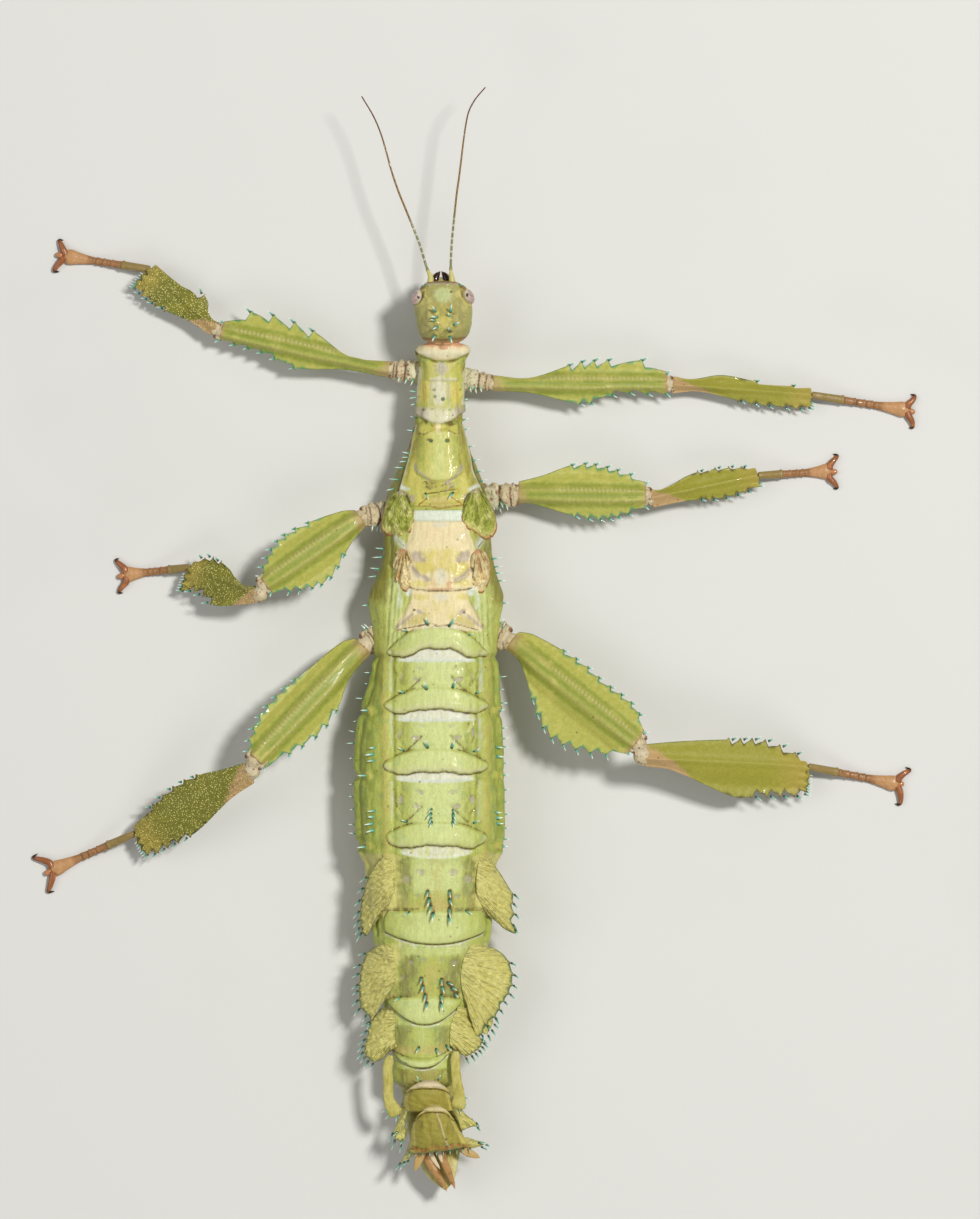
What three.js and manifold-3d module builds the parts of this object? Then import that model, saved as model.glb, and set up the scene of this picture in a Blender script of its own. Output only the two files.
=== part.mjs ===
// Giant prickly stick insect (Extatosoma tiaratum), adult female, sprawled flat on the floor.
// Millimetres, +Z up, head towards +Y, the animal's right side towards +X.
import * as THREE from 'three';
import { mergeVertices } from 'three/addons/utils/BufferGeometryUtils.js';
import Module from 'manifold-3d';

const wasm = await Module();
wasm.setup();

// ---- driving dimensions ----
const BODY_LENGTH = 130;        // brow to the tip of the ovipositor
const BODY_ROWS = 910;          // the same length in rows of the plan grid
const MID_COLUMN = 442;         // the column of the body's midline
const MID_ROW = 640;            // the row through the hips
const GAP = 0.3;                // left open between neighbouring pieces
const LEAF = 0.6;               // thickness of lobes and wing stubs
const MARGIN = 0.3;             // half thickness of a leg's leafy edge
const SPINE_RADIUS = 0.32;
const SPINE_SINK = 0.35;        // how deep a spine's foot sits in the skin
const BODY_SIDES = 16;
const FEELER_SIDES = 6;

// The pose is laid out on a plan grid: columns run to the right, rows run to the tail.
const SQUARE = BODY_LENGTH / BODY_ROWS;
const planX = (column) => (column - MID_COLUMN) * SQUARE;
const planY = (row) => (MID_ROW - row) * SQUARE;
const at = ([column, row], z = 0) => new THREE.Vector3(planX(column), planY(row), z);

const COLOURS = {
  skin: 0xb3bd66, thorax: 0xcfc68b, membrane: 0xd9dcc4, leaf: 0xb9a659, wing: 0x8f9448,
  leg: 0xb4b356, shin: 0x98954a, foot: 0xa8672f, claw: 0x8a4420, eye: 0xc9b0a6,
  mouth: 0x5b2a1c, feeler: 0x7d6a3a, hip: 0xc5a982, valve: 0x8c4a2a,
};

// ---- numbers along a line ----

// Smooth value of every column of a table at x; the first column is x itself.
function sample(table, x) {
  const last = table.length - 1;
  let i = 0;
  while (i < last - 1 && x > table[i + 1][0]) i += 1;
  const [a, b] = [table[i], table[i + 1]];
  const [before, after] = [table[Math.max(i - 1, 0)], table[Math.min(i + 2, last)]];
  const span = b[0] - a[0];
  const t = THREE.MathUtils.clamp((x - a[0]) / span, 0, 1);
  return a.map((start, k) => {
    const leave = ((b[k] - before[k]) / (b[0] - before[0])) * span;
    const arrive = ((after[k] - a[k]) / (after[0] - a[0])) * span;
    const ease = t * t * (3 - 2 * t);
    return start + (b[k] - start) * ease + leave * t * (1 - t) ** 2 - arrive * t * t * (1 - t);
  });
}

// ---- closed solids ----

// A closed skin over rings of points; every ring has the same count and runs the same way round.
function loft(rings) {
  const count = rings[0].length;
  const points = rings.flat();
  const faces = [];
  for (let r = 0; r + 1 < rings.length; r += 1) {
    for (let i = 0; i < count; i += 1) {
      const j = (i + 1) % count;
      const [a, b, c, d] = [r * count + i, r * count + j, (r + 1) * count + j, (r + 1) * count + i];
      faces.push(a, b, c, a, c, d);
    }
  }
  const end = (rings.length - 1) * count;
  for (let i = 1; i + 1 < count; i += 1) {
    faces.push(0, i + 1, i);
    faces.push(end, end + i, end + i + 1);
  }
  const geometry = new THREE.BufferGeometry().setFromPoints(points);
  geometry.setIndex(volumeOf(points, faces) < 0 ? faces.reverse() : faces);
  return solid(geometry);
}

// Six times the volume inside the faces: negative where they look inwards.
function volumeOf(points, faces) {
  let sum = 0;
  for (let i = 0; i < faces.length; i += 3) {
    const [a, b, c] = faces.slice(i, i + 3).map((corner) => points[corner]);
    sum += a.dot(b.clone().cross(c));
  }
  return sum;
}

function solid(geometry) {
  const bare = geometry.clone();
  bare.deleteAttribute('normal');
  bare.deleteAttribute('uv');
  const merged = mergeVertices(bare, 1e-4);
  return new wasm.Manifold(new wasm.Mesh({
    numProp: 3,
    vertProperties: new Float32Array(merged.attributes.position.array),
    triVerts: new Uint32Array(merged.index.array),
  }));
}

// The largest single body left after cutting.
function trimmed(body, ...cutters) {
  const rest = cutters.reduce((kept, cutter) => kept.subtract(cutter), body);
  return rest.decompose().sort((a, b) => b.volume() - a.volume())[0];
}

const joined = (body, extras) => extras.reduce((whole, extra) => whole.add(extra), body);

const insect = new THREE.Group();

// The body's surface with corners closer than WELD made one and the slivers between them dropped.
const WELD = 0.004;
function surface(body) {
  const { vertProperties, triVerts } = body.getMesh();
  const rough = new THREE.BufferGeometry();
  rough.setAttribute('position', new THREE.BufferAttribute(new Float32Array(vertProperties), 3));
  rough.setIndex([...triVerts]);
  const geometry = mergeVertices(rough, WELD);
  const corners = [...geometry.index.array];
  const kept = [];
  for (let i = 0; i < corners.length; i += 3) {
    const [a, b, c] = corners.slice(i, i + 3);
    if (a !== b && b !== c && c !== a) kept.push(a, b, c);
  }
  geometry.setIndex(kept);
  geometry.computeVertexNormals();
  return geometry;
}

function show(name, body, colour, roughness = 0.6) {
  const geometry = surface(body);
  const material = new THREE.MeshStandardMaterial({ color: colour, roughness, metalness: 0 });
  const mesh = new THREE.Mesh(geometry, material);
  mesh.name = name;
  insect.add(mesh);
  return body;
}

// ---- head and trunk ----

// row, left column, right column, height of back, of widest line, of belly
const TRUNK = [
  [345, 422, 465, 10.7, 8.5, 6.2],
  [352, 415, 470, 11.0, 8.1, 5.3],
  [361, 419, 465, 10.4, 7.7, 4.7],
  [385, 419, 463, 10.0, 7.2, 3.8],
  [408, 417, 463, 9.9, 6.9, 3.2],
  [425, 414, 463, 10.1, 6.7, 2.7],
  [450, 407, 470, 10.5, 6.5, 2.2],
  [475, 395, 480, 10.9, 6.4, 1.9],
  [500, 386, 488, 11.2, 6.3, 1.6],
  [560, 382, 493, 11.5, 6.3, 1.0],
  [592, 371, 501, 11.9, 6.3, 0.7],
  [650, 374, 497, 12.5, 6.5, 0.1],
  [680, 371, 498, 12.9, 6.6, -0.4],
  [715, 360, 500, 13.3, 6.6, -0.6],
  [765, 355, 502, 13.7, 6.6, -0.6],
  [830, 357, 503, 13.9, 6.6, -0.6],
  [890, 363, 499, 13.6, 6.6, -0.6],
  [943, 370, 493, 12.9, 6.6, -0.4],
  [980, 376, 484, 12.2, 6.5, 0.2],
  [1022, 384, 468, 11.2, 6.5, 1.0],
  [1045, 389, 460, 10.8, 6.6, 1.6],
  [1080, 393, 456, 10.3, 6.8, 2.7],
];
const HEAD = [
  [284, 424, 461, 12.3, 10.7, 8.6],
  [290, 420, 467, 12.8, 10.7, 8.0],
  [307, 415, 472, 13.6, 10.8, 7.4],
  [320, 416, 472, 14.5, 10.9, 7.3],
  [329, 418, 471, 14.8, 10.9, 7.4],
  [337, 421, 467, 14.1, 10.6, 7.7],
  [343, 427, 461, 12.7, 9.9, 8.1],
];
const HOOD_9 = [
  [1080, 414, 444, 10.9, 8.2, 5.6],
  [1084, 408, 448, 11.5, 8.1, 5.5],
  [1095, 404, 451, 11.4, 7.9, 5.4],
  [1103, 406, 454, 11.1, 7.8, 5.4],
];
const HOOD_10 = [
  [1105, 421, 449, 11.7, 9.0, 6.4],
  [1110, 415, 454, 12.3, 8.8, 6.3],
  [1122, 412, 458, 12.3, 8.5, 6.2],
  [1138, 411, 465, 11.6, 8.2, 6.1],
  [1150, 411, 470, 10.6, 8.0, 6.3],
];
const OPERCULUM = [
  [1082, 400, 458, 5.0, 4.0, 2.8],
  [1110, 404, 462, 5.1, 4.1, 2.9],
  [1140, 410, 462, 5.4, 4.4, 3.2],
  [1163, 419, 458, 5.8, 4.9, 3.8],
  [1178, 428, 455, 6.0, 5.3, 4.5],
  [1189, 441, 449, 6.0, 5.6, 5.2],
];
const MOUTH = [
  [282, 427, 457, 10.3, 9.2, 7.4],
  [277, 431, 451, 9.8, 8.8, 7.0],
  [271.5, 436, 446, 8.9, 8.0, 6.8],
];

// Roundness of the section: below 1 is squarer than an ellipse.
const BACK_POWER = 0.9;
const SIDE_POWER = 0.85;
const BELLY_POWER = 0.6;
const power = (value, p) => Math.sign(value) * Math.abs(value) ** p;

// The point of a section at an angle from the right-hand side, counted over the back.
function sectionPoint([row, left, right, top, middle, bottom], angle, grow = 0) {
  const half = ((right - left) / 2) * SQUARE + grow;
  const x = planX((left + right) / 2) + half * power(Math.cos(angle), SIDE_POWER);
  const up = Math.sin(angle);
  const z = up > 0
    ? middle + (top - middle + grow) * power(up, BACK_POWER)
    : middle + (middle - bottom + grow) * power(up, BELLY_POWER);
  return new THREE.Vector3(x, planY(row), Math.max(z, grow > 0 ? -grow : 0));
}

function section(station, grow = 0) {
  return Array.from({ length: BODY_SIDES }, (_, i) => (
    sectionPoint(station, (i / BODY_SIDES) * 2 * Math.PI, grow)));
}

// Pieces of the trunk bulge towards their hind rim and pinch where they meet the next one.
const RING_SHAPE = [[0, -0.35], [0.12, -0.05], [0.8, 0.1], [0.93, 0.05], [1, -0.35]];

function trunkPiece(table, from, to, shape = RING_SHAPE) {
  return loft(shape.map(([share, swell]) => {
    const station = sample(table, from + (to - from) * share);
    return section(station, 0).map((point) => {
      const centre = new THREE.Vector3(planX((station[1] + station[2]) / 2), point.y, station[4]);
      const out = point.clone().sub(centre);
      const grown = point.clone().addScaledVector(out.normalize(), swell);
      grown.z = point.z > 0 ? Math.max(grown.z, 0) : 0;
      return grown;
    });
  }));
}

const plainPiece = (table, grow = 0) => loft(table.map((station) => section(station, grow)));

// Height of the back over a column.
function backHeight(table, [column, row]) {
  const [, left, right, top, middle] = sample(table, row);
  const share = Math.min(Math.abs(column - (left + right) / 2) / ((right - left) / 2), 1);
  const side = share ** (1 / SIDE_POWER);
  return middle + (top - middle) * Math.sqrt(1 - side * side) ** BACK_POWER;
}

// A spine from foot to tip, each [column, row], rising over the back.
function spine(table, foot, tip, rise, radius = SPINE_RADIUS) {
  const base = at(foot, backHeight(table, foot) - SPINE_SINK);
  const point = at(tip, backHeight(table, foot) + rise);
  const axis = point.clone().sub(base);
  const cone = new THREE.ConeGeometry(radius, axis.length(), 4, 1);
  cone.translate(0, axis.length() / 2, 0);
  const turn = new THREE.Quaternion().setFromUnitVectors(new THREE.Vector3(0, 1, 0), axis.normalize());
  cone.applyQuaternion(turn);
  cone.translate(base.x, base.y, base.z);
  return solid(cone);
}

// Spines along one flank: side is -1 for the left and 1 for the right.
const FLANK_INSET = 6;
const FLANK_RISE = 0.2;
function flankSpines(side, rows, reach) {
  return rows.map((row) => {
    const edge = sample(TRUNK, row)[side < 0 ? 1 : 2];
    return spine(TRUNK, [edge - side * FLANK_INSET, row], [edge + side * reach, row + 3], FLANK_RISE);
  });
}

// A flat lobe from its outline of [column, row] corners.
function lobe(corners, z, thickness = LEAF) {
  const outline = new THREE.Shape(corners.map((corner) => {
    const point = at(corner);
    return new THREE.Vector2(point.x, point.y);
  }));
  const plate = new THREE.ExtrudeGeometry(outline, { depth: thickness, bevelEnabled: false });
  plate.translate(0, 0, z - thickness / 2);
  return solid(plate);
}

// Eyes
const EYE = { columns: [417.5, 468.5], row: 298, height: 10.9, half: [0.85, 1.2, 1.05] };
function eyeball(column, grow = 0) {
  const ball = new THREE.SphereGeometry(1, 8, 6);
  ball.scale(...EYE.half.map((radius) => radius + grow));
  const centre = at([column, EYE.row], EYE.height);
  ball.translate(centre.x, centre.y, centre.z);
  return solid(ball);
}

// The crown: a ring of spines on top of the head, leaning outwards.
const CROWN = [
  [[436, 314], [431, 306]], [[437, 320], [429, 318]], [[437, 328], [431, 332]],
  [[438, 335], [431, 344]], [[450, 313], [453, 304]], [[452, 319], [459, 317]],
  [[455, 326], [461, 323]], [[449, 336], [453, 346]], [[446, 329], [446, 331]],
];
const CROWN_RISE = 1.0;

const skull = joined(plainPiece(HEAD), CROWN.map(([foot, tip]) => spine(HEAD, foot, tip, CROWN_RISE)));
show('head', trimmed(skull, ...EYE.columns.map((column) => eyeball(column, GAP))), COLOURS.skin);
show('eye_left', eyeball(EYE.columns[0]), COLOURS.eye, 0.2);
show('eye_right', eyeball(EYE.columns[1]), COLOURS.eye, 0.2);
show('mouthparts', plainPiece(MOUTH), COLOURS.mouth);

// Trunk pieces: name, first row, last row, colour
const PIECES = {
  prothorax: [345, 422, COLOURS.thorax],
  mesothorax: [424, 507, COLOURS.thorax],
  metathorax: [509, 598, COLOURS.thorax],
  abdomen_1: [600, 657, COLOURS.skin],
  abdomen_2: [659, 710, COLOURS.skin],
  abdomen_3: [712, 775, COLOURS.skin],
  abdomen_4: [777, 845, COLOURS.skin],
  abdomen_5: [847, 942, COLOURS.skin],
  abdomen_6: [944, 1022, COLOURS.skin],
  abdomen_7: [1024, 1061, COLOURS.skin],
  abdomen_8: [1063, 1078, COLOURS.skin],
};
const COLLAR_SHAPE = [[0, 0], [0.09, 0], [0.21, 0], [0.52, 0], [0.85, 0], [1, -0.2]];
const WAIST_SHAPE = [[0, -0.35], [0.12, -0.05], [0.35, 0], [0.57, 0], [0.8, 0.05], [1, -0.35]];
const SHORT_SHAPE = [[0, -0.35], [0.2, 0], [0.85, 0.1], [1, -0.3]];
const SHAPES = {
  prothorax: COLLAR_SHAPE, metathorax: WAIST_SHAPE, abdomen_7: SHORT_SHAPE, abdomen_8: SHORT_SHAPE,
};

// Spines and lobes that grow from each piece.
const LOBE_HEIGHT = 6.4;
const GROWTHS = {
  prothorax: () => [...flankSpines(-1, [392, 403], 8), ...flankSpines(1, [400, 406], 7)],
  mesothorax: () => [
    ...flankSpines(-1, [431, 455, 468, 486], 8),
    ...flankSpines(1, [430, 447, 461, 476], 8),
    spine(TRUNK, [428, 497], [426, 502], 0.7),
    spine(TRUNK, [448, 496], [450, 501], 0.7),
  ],
  metathorax: () => [...flankSpines(-1, [549, 557, 569, 577], 11), ...flankSpines(1, [559, 569, 580], 11)],
  abdomen_1: () => [
    ...flankSpines(-1, [606], 8), ...flankSpines(1, [604], 8),
    spine(TRUNK, [428, 624], [425, 616], 1.1), spine(TRUNK, [449, 626], [456, 616], 1.1),
    spine(TRUNK, [407, 631], [404, 628], 0.8), spine(TRUNK, [469, 635], [473, 632], 0.8),
  ],
  abdomen_2: () => [
    ...flankSpines(-1, [682, 692], 8),
    spine(TRUNK, [427, 688], [425, 693], 0.8), spine(TRUNK, [453, 686], [455, 691], 0.8),
  ],
  abdomen_3: () => [
    ...flankSpines(-1, [717, 731, 740, 758], 8), ...flankSpines(1, [714], 6),
    spine(TRUNK, [428, 747], [427, 753], 0.8), spine(TRUNK, [452, 747], [453, 753], 0.8),
  ],
  abdomen_4: () => [
    ...flankSpines(-1, [781, 823], 8), ...flankSpines(1, [784, 840], 7),
    spine(TRUNK, [432, 818], [431, 825], 0.8), spine(TRUNK, [453, 818], [454, 825], 0.8),
  ],
  abdomen_5: () => [
    lobe([[385, 858], [370, 873], [362, 900], [361, 920], [362, 931], [367, 936], [374, 924], [385, 912]],
      LOBE_HEIGHT),
    lobe([[485, 860], [503, 878], [513, 894], [513, 916], [515, 931], [500, 926], [485, 918]], LOBE_HEIGHT),
    spine(TRUNK, [432, 905], [431, 914], 0.8), spine(TRUNK, [450, 905], [451, 914], 0.8),
  ],
  abdomen_6: () => [
    lobe([[390, 950], [372, 950], [361, 970], [360, 1000], [362, 1009], [370, 1018], [376, 1008], [390, 995]],
      LOBE_HEIGHT),
    lobe([[470, 950], [487, 947], [502, 954], [512, 972], [510, 987], [500, 1004], [500, 1014],
      [480, 1030], [478, 1038], [472, 1034], [467, 1005]], LOBE_HEIGHT),
    spine(TRUNK, [425, 980], [424, 989], 0.8), spine(TRUNK, [447, 980], [448, 989], 0.8),
  ],
  abdomen_7: () => [
    lobe([[395, 1026], [372, 1026], [366, 1045], [365, 1056], [374, 1060], [386, 1057], [397, 1047]],
      LOBE_HEIGHT - 0.2),
    lobe([[450, 1026], [470, 1040], [480, 1041], [478, 1048], [469, 1055], [458, 1053], [450, 1046]],
      LOBE_HEIGHT - 0.2),
  ],
  abdomen_8: () => [
    lobe([[396, 1066], [388, 1066], [387, 1085], [388, 1105], [396, 1113], [402, 1105], [398, 1084],
      [405, 1074]], 6.6),
    lobe([[446, 1066], [456, 1066], [459, 1085], [465, 1098], [462, 1106], [456, 1107], [453, 1090],
      [446, 1074]], 6.6),
  ],
};

Object.entries(PIECES).forEach(([name, [from, to, colour]]) => {
  const whole = joined(trunkPiece(TRUNK, from, to, SHAPES[name]), GROWTHS[name]());
  show(name, whole, colour);
});

const hood9 = joined(plainPiece(HOOD_9), [
  lobe([[412, 1092], [405, 1092], [401, 1108], [397, 1134], [402, 1141], [408, 1128], [412, 1102]], 8.2),
  lobe([[448, 1092], [454, 1096], [458, 1106], [465, 1116], [476, 1125], [464, 1128], [460, 1112],
    [448, 1102]], 8.2),
]);
const hood10 = joined(plainPiece(HOOD_10), [
  lobe([[420, 1140], [411, 1140], [403, 1162], [420, 1149]], 7.2),
  lobe([[458, 1136], [466, 1138], [485, 1143], [470, 1149], [458, 1148]], 7.2),
]);
const tailCutter = plainPiece(HOOD_10, GAP);
show('abdomen_9', trimmed(hood9, tailCutter), COLOURS.skin);
show('abdomen_10', hood10, COLOURS.skin);
show('operculum', plainPiece(OPERCULUM), COLOURS.membrane);

// A slim blade from foot to tip with a given half width and half thickness at its foot.
function blade(foot, tip, zFoot, zTip, half, thick) {
  const [a, b] = [at(foot, zFoot), at(tip, zTip)];
  const side = new THREE.Vector3(-(b.y - a.y), b.x - a.x, 0).normalize();
  const shares = [[0, 1], [0.5, 0.9], [0.85, 0.6], [1, 0.35]];
  return loft(shares.map(([share, width]) => {
    const centre = a.clone().lerp(b, share);
    return [[1, 0.3], [0.4, 1], [-0.4, 1], [-1, 0.3], [-1, -0.3], [-0.4, -1], [0.4, -1], [1, -0.3]]
      .map(([across, up]) => centre.clone()
        .addScaledVector(side, across * half * width)
        .add(new THREE.Vector3(0, 0, up * thick * Math.max(width, 0.8))));
  }));
}
show('ovipositor_left', blade([429, 1156], [446, 1191], 6.9, 6.7, 0.55, 0.35), COLOURS.valve);
show('ovipositor_right', blade([443, 1154], [455, 1188], 6.9, 6.7, 0.55, 0.35), COLOURS.valve);
show('cercus_left', blade([420, 1153], [416, 1170], 7.6, 7.3, 0.6, 0.4), COLOURS.leaf);
show('cercus_right', blade([462, 1152.5], [479, 1157], 7.7, 7.4, 0.5, 0.4), COLOURS.leaf);

// ---- feelers ----
const FEELER_HEIGHT = 11.3;
const FEELER_RADII = [[0, 0.6], [0.05, 0.55], [0.09, 0.34], [0.5, 0.3], [0.95, 0.26], [1, 0.25]];
const FEELERS = {
  antenna_left: [[430.5, 281], [420, 246], [405.7, 210], [392, 173], [380.7, 134], [362, 98]],
  antenna_right: [[452, 281], [452, 246], [456, 210], [461, 164], [466, 126], [486, 88]],
};
const FEELER_RINGS = 13;
Object.entries(FEELERS).forEach(([name, route]) => {
  const line = new THREE.CatmullRomCurve3(route.map((point) => at(point, FEELER_HEIGHT)));
  const rings = Array.from({ length: FEELER_RINGS }, (_, i) => {
    const share = i < 3 ? i * 0.04 : 0.08 + ((i - 2) / (FEELER_RINGS - 3)) * 0.92;
    const centre = line.getPointAt(Math.min(share, 1));
    const along = line.getTangentAt(Math.min(share, 1));
    const side = new THREE.Vector3(-along.y, along.x, 0).normalize();
    const radius = sample(FEELER_RADII, share)[1];
    return Array.from({ length: FEELER_SIDES }, (__, k) => {
      const angle = (k / FEELER_SIDES) * 2 * Math.PI;
      return centre.clone()
        .addScaledVector(side, radius * Math.cos(angle))
        .add(new THREE.Vector3(0, 0, radius * Math.sin(angle)));
    });
  });
  show(name, loft(rings), COLOURS.feeler);
});

// ---- wing stubs, draped over the thorax ----

const WING_LIFT = GAP + 0.4;
const WING_REACH = 0.97;        // how far round the flank a stub goes, as a share of the half width
// edges: row, left column, right column
function draped(edges) {
  const across = [0, 1 / 3, 2 / 3, 1];
  return loft(edges.map(([row, left, right]) => {
    const station = sample(TRUNK, row);
    const [centre, half] = [(station[1] + station[2]) / 2, (station[2] - station[1]) / 2];
    const reach = half + (WING_LIFT + LEAF) / SQUARE;
    const angleAt = (column) => {
      const share = THREE.MathUtils.clamp((column - centre) / reach, -WING_REACH, WING_REACH);
      return Math.acos(power(share, 1 / SIDE_POWER));
    };
    const angles = across.map((share) => THREE.MathUtils.lerp(angleAt(right), angleAt(left), share));
    const outer = angles.map((angle) => sectionPoint(station, angle, WING_LIFT + LEAF));
    const inner = angles.map((angle) => sectionPoint(station, angle, WING_LIFT)).reverse();
    return [...outer, ...inner];
  }));
}
const WINGS = {
  tegmen_left: [[491, 396, 400], [497, 390, 405], [506, 385, 412], [520, 382, 414], [531, 382, 411],
    [538, 394, 404]],
  tegmen_right: [[490, 475, 480], [498, 467, 487], [512, 463, 494], [524, 463, 496], [533, 475, 494],
    [539, 484, 489]],
  hindwing_left: [[549, 398, 407], [555, 394, 411], [570, 394, 412], [583, 397, 411], [590, 402, 409]],
  hindwing_right: [[550, 475, 485], [557, 471, 489], [571, 470, 490], [584, 472, 488], [592, 477, 484]],
};
Object.entries(WINGS).forEach(([name, edges]) => show(name, draped(edges), COLOURS.wing));

// ---- legs ----

// Each leg runs from the hip to the foot through [column, row] joints with heights z.
// front and back give the leaf's half width against the share of the length from the body;
// teeth are the shares where a tooth stands, and bite is how deep the notch behind it is.
const LEGS = {
  fore_left: {
    coxa: { from: [426, 373], to: [394, 370], z: [5.4, 5.7], half: [1.7, 1.3] },
    femur: {
      from: [391.5, 369], to: [219, 330.5], z: [5.8, 4.2], core: 1.3,
      front: [[0, 1.1], [0.25, 0.5], [0.47, 2.8], [0.66, 3.7], [0.84, 3.7], [1, 1.3]],
      back: [[0, 1.3], [0.25, 1.5], [0.54, 2.8], [0.72, 1.7], [1, 1.3]],
      teeth: { front: [0.48, 0.68, 0.85], back: [0.54], bite: 1.3 },
    },
    tibia: {
      from: [216, 329], to: [149, 268], z: [4.1, 2.6], core: 1.0,
      front: [[0, 1.0], [0.15, 0.8], [0.37, 2.4], [0.6, 1.3], [1, 1.0]],
      back: [[0, 1.2], [0.3, 1.7], [0.72, 3.4], [1, 3.6]],
      teeth: { front: [0.39], back: [0.72], bite: 0.7 },
    },
    foot: { to: [64, 254.5], claws: [[58, 238], [52, 268]], pad: [56.5, 253] },
  },
  fore_right: {
    coxa: { from: [460, 379], to: [488, 382], z: [5.4, 5.6], half: [1.7, 1.2] },
    femur: {
      from: [490.5, 383], to: [669, 383], z: [5.7, 3.8], core: 1.2,
      front: [[0, 1.2], [0.22, 0.8], [0.5, 3.0], [0.66, 3.3], [0.85, 3.3], [1, 1.6]],
      back: [[0, 1.1], [0.22, 1.4], [0.53, 2.9], [0.72, 1.4], [1, 1.7]],
      teeth: { front: [0.5, 0.66, 0.85], back: [0.54], bite: 1.1 },
    },
    tibia: {
      from: [671.5, 384], to: [813, 394], z: [3.7, 2.2], core: 0.9,
      front: [[0, 1.3], [0.13, 1.0], [0.38, 1.9], [0.65, 1.2], [1, 1.0]],
      back: [[0, 1.3], [0.2, 0.7], [0.6, 1.9], [0.94, 2.1], [1, 1.9]],
      teeth: { front: [0.86], back: [0.7], bite: 0.4 },
    },
    foot: { to: [909, 409], claws: [[915, 394], [913, 427]], pad: [916.5, 411] },
  },
  mid_left: {
    coxa: { from: [396, 512], to: [365.5, 516], z: [4.4, 6.7], half: [1.9, 1.5] },
    femur: {
      from: [362.5, 517], to: [264.5, 584.5], z: [6.9, 9.2], core: 1.5,
      front: [[0, 1.2], [0.12, 2.4], [0.46, 3.9], [0.67, 4.1], [0.82, 3.2], [1, 1.3]],
      back: [[0, 1.3], [0.2, 2.2], [0.5, 4.6], [0.66, 4.4], [0.85, 2.8], [1, 1.6]],
      teeth: { front: [0.52, 0.67, 0.8], back: [0.6], bite: 0.8 },
    },
    tibia: {
      from: [260, 595], to: [189.5, 567], z: [9.0, 3.2], core: 1.1,
      front: [[0, 1.5], [0.25, 0.5], [0.55, 1.9], [0.8, 2.4], [1, 1.0]],
      back: [[0, 1.2], [0.22, 2.3], [0.55, 3.8], [0.8, 3.0], [1, 3.8]],
      teeth: { front: [0.8], back: [0.6], bite: 0.8 },
    },
    foot: { to: [124, 574.5], claws: [[114, 560], [117, 591]], pad: [116.5, 576] },
  },
  mid_right: {
    coxa: { from: [478, 497], to: [514, 495], z: [4.4, 5.5], half: [1.9, 1.6] },
    femur: {
      from: [516.5, 494.5], to: [647, 496], z: [5.5, 5.2], core: 1.4,
      front: [[0, 1.8], [0.2, 2.8], [0.42, 4.3], [0.6, 4.4], [0.86, 3.1], [1, 2.0]],
      back: [[0, 1.3], [0.12, 1.3], [0.45, 3.0], [0.62, 3.4], [0.78, 3.0], [1, 1.6]],
      teeth: { front: [0.6, 0.77, 0.87], back: [0.78], bite: 0.8 },
    },
    tibia: {
      from: [650, 498], to: [759, 475], z: [5.0, 2.6], core: 1.0,
      front: [[0, 1.4], [0.12, 0.9], [0.45, 2.2], [0.72, 2.1], [1, 1.2]],
      back: [[0, 1.4], [0.35, 1.5], [0.66, 2.2], [1, 1.7]],
      teeth: { front: [0.89], back: [0.67], bite: 0.5 },
    },
    foot: { to: [831, 470.5], claws: [[838, 455], [838, 486]], pad: [838, 471] },
  },
  hind_left: {
    coxa: { from: [392, 628], to: [368.5, 642.5], z: [4.8, 6.8], half: [2.2, 1.8] },
    femur: {
      from: [365.5, 645], to: [256, 759.5], z: [6.9, 11.6], core: 1.7,
      front: [[0, 1.6], [0.1, 2.8], [0.4, 3.6], [0.55, 4.1], [0.8, 3.8], [1, 1.8]],
      back: [[0, 1.4], [0.22, 1.7], [0.42, 3.5], [0.62, 4.0], [0.85, 2.7], [1, 1.8]],
      teeth: { front: [0.54, 0.62, 0.7, 0.81, 0.89], back: [0.73], bite: 0.8 },
    },
    tibia: {
      from: [252, 772], to: [134, 834], z: [11.0, 3.6], core: 1.2,
      front: [[0, 1.6], [0.2, 2.3], [0.45, 3.4], [0.7, 2.9], [1, 0.8]],
      back: [[0, 1.5], [0.25, 2.0], [0.6, 3.9], [0.85, 3.9], [1, 3.9]],
      teeth: { front: [0.6], back: [0.84], bite: 0.6 },
    },
    foot: { to: [51, 871], claws: [[32, 859], [47, 892]], pad: [44, 874] },
  },
  hind_right: {
    coxa: { from: [478, 630], to: [505, 638], z: [4.8, 6.8], half: [2.3, 1.8] },
    femur: {
      from: [508.5, 640.5], to: [637, 742.5], z: [7.0, 11.4], core: 1.7,
      front: [[0, 1.7], [0.1, 2.9], [0.42, 4.0], [0.6, 3.8], [0.85, 3.8], [1, 1.9]],
      back: [[0, 1.2], [0.14, 1.5], [0.42, 5.8], [0.57, 7.1], [0.8, 5.4], [1, 2.2]],
      teeth: { front: [0.48, 0.57, 0.66, 0.79, 0.86], back: [0.41, 0.49, 0.57, 0.67, 0.79], bite: 0.9 },
    },
    tibia: {
      from: [642, 757.5], to: [809, 767], z: [10.8, 3.4], core: 1.2,
      front: [[0, 1.9], [0.25, 2.7], [0.55, 3.3], [0.76, 3.3], [1, 1.0]],
      back: [[0, 1.1], [0.2, 1.6], [0.58, 4.9], [0.72, 4.6], [1, 4.2]],
      teeth: { front: [0.69, 0.77, 0.94], back: [0.69, 0.9], bite: 1.0 },
    },
    foot: { to: [899, 785], claws: [[911, 771], [902, 805]], pad: [902.5, 785] },
  },
};

const TOOTH_FACE = 0.02;        // share of the length that the steep side of a tooth takes
const TOOTH_RUN = 0.14;         // share over which the last notch heals

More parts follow.
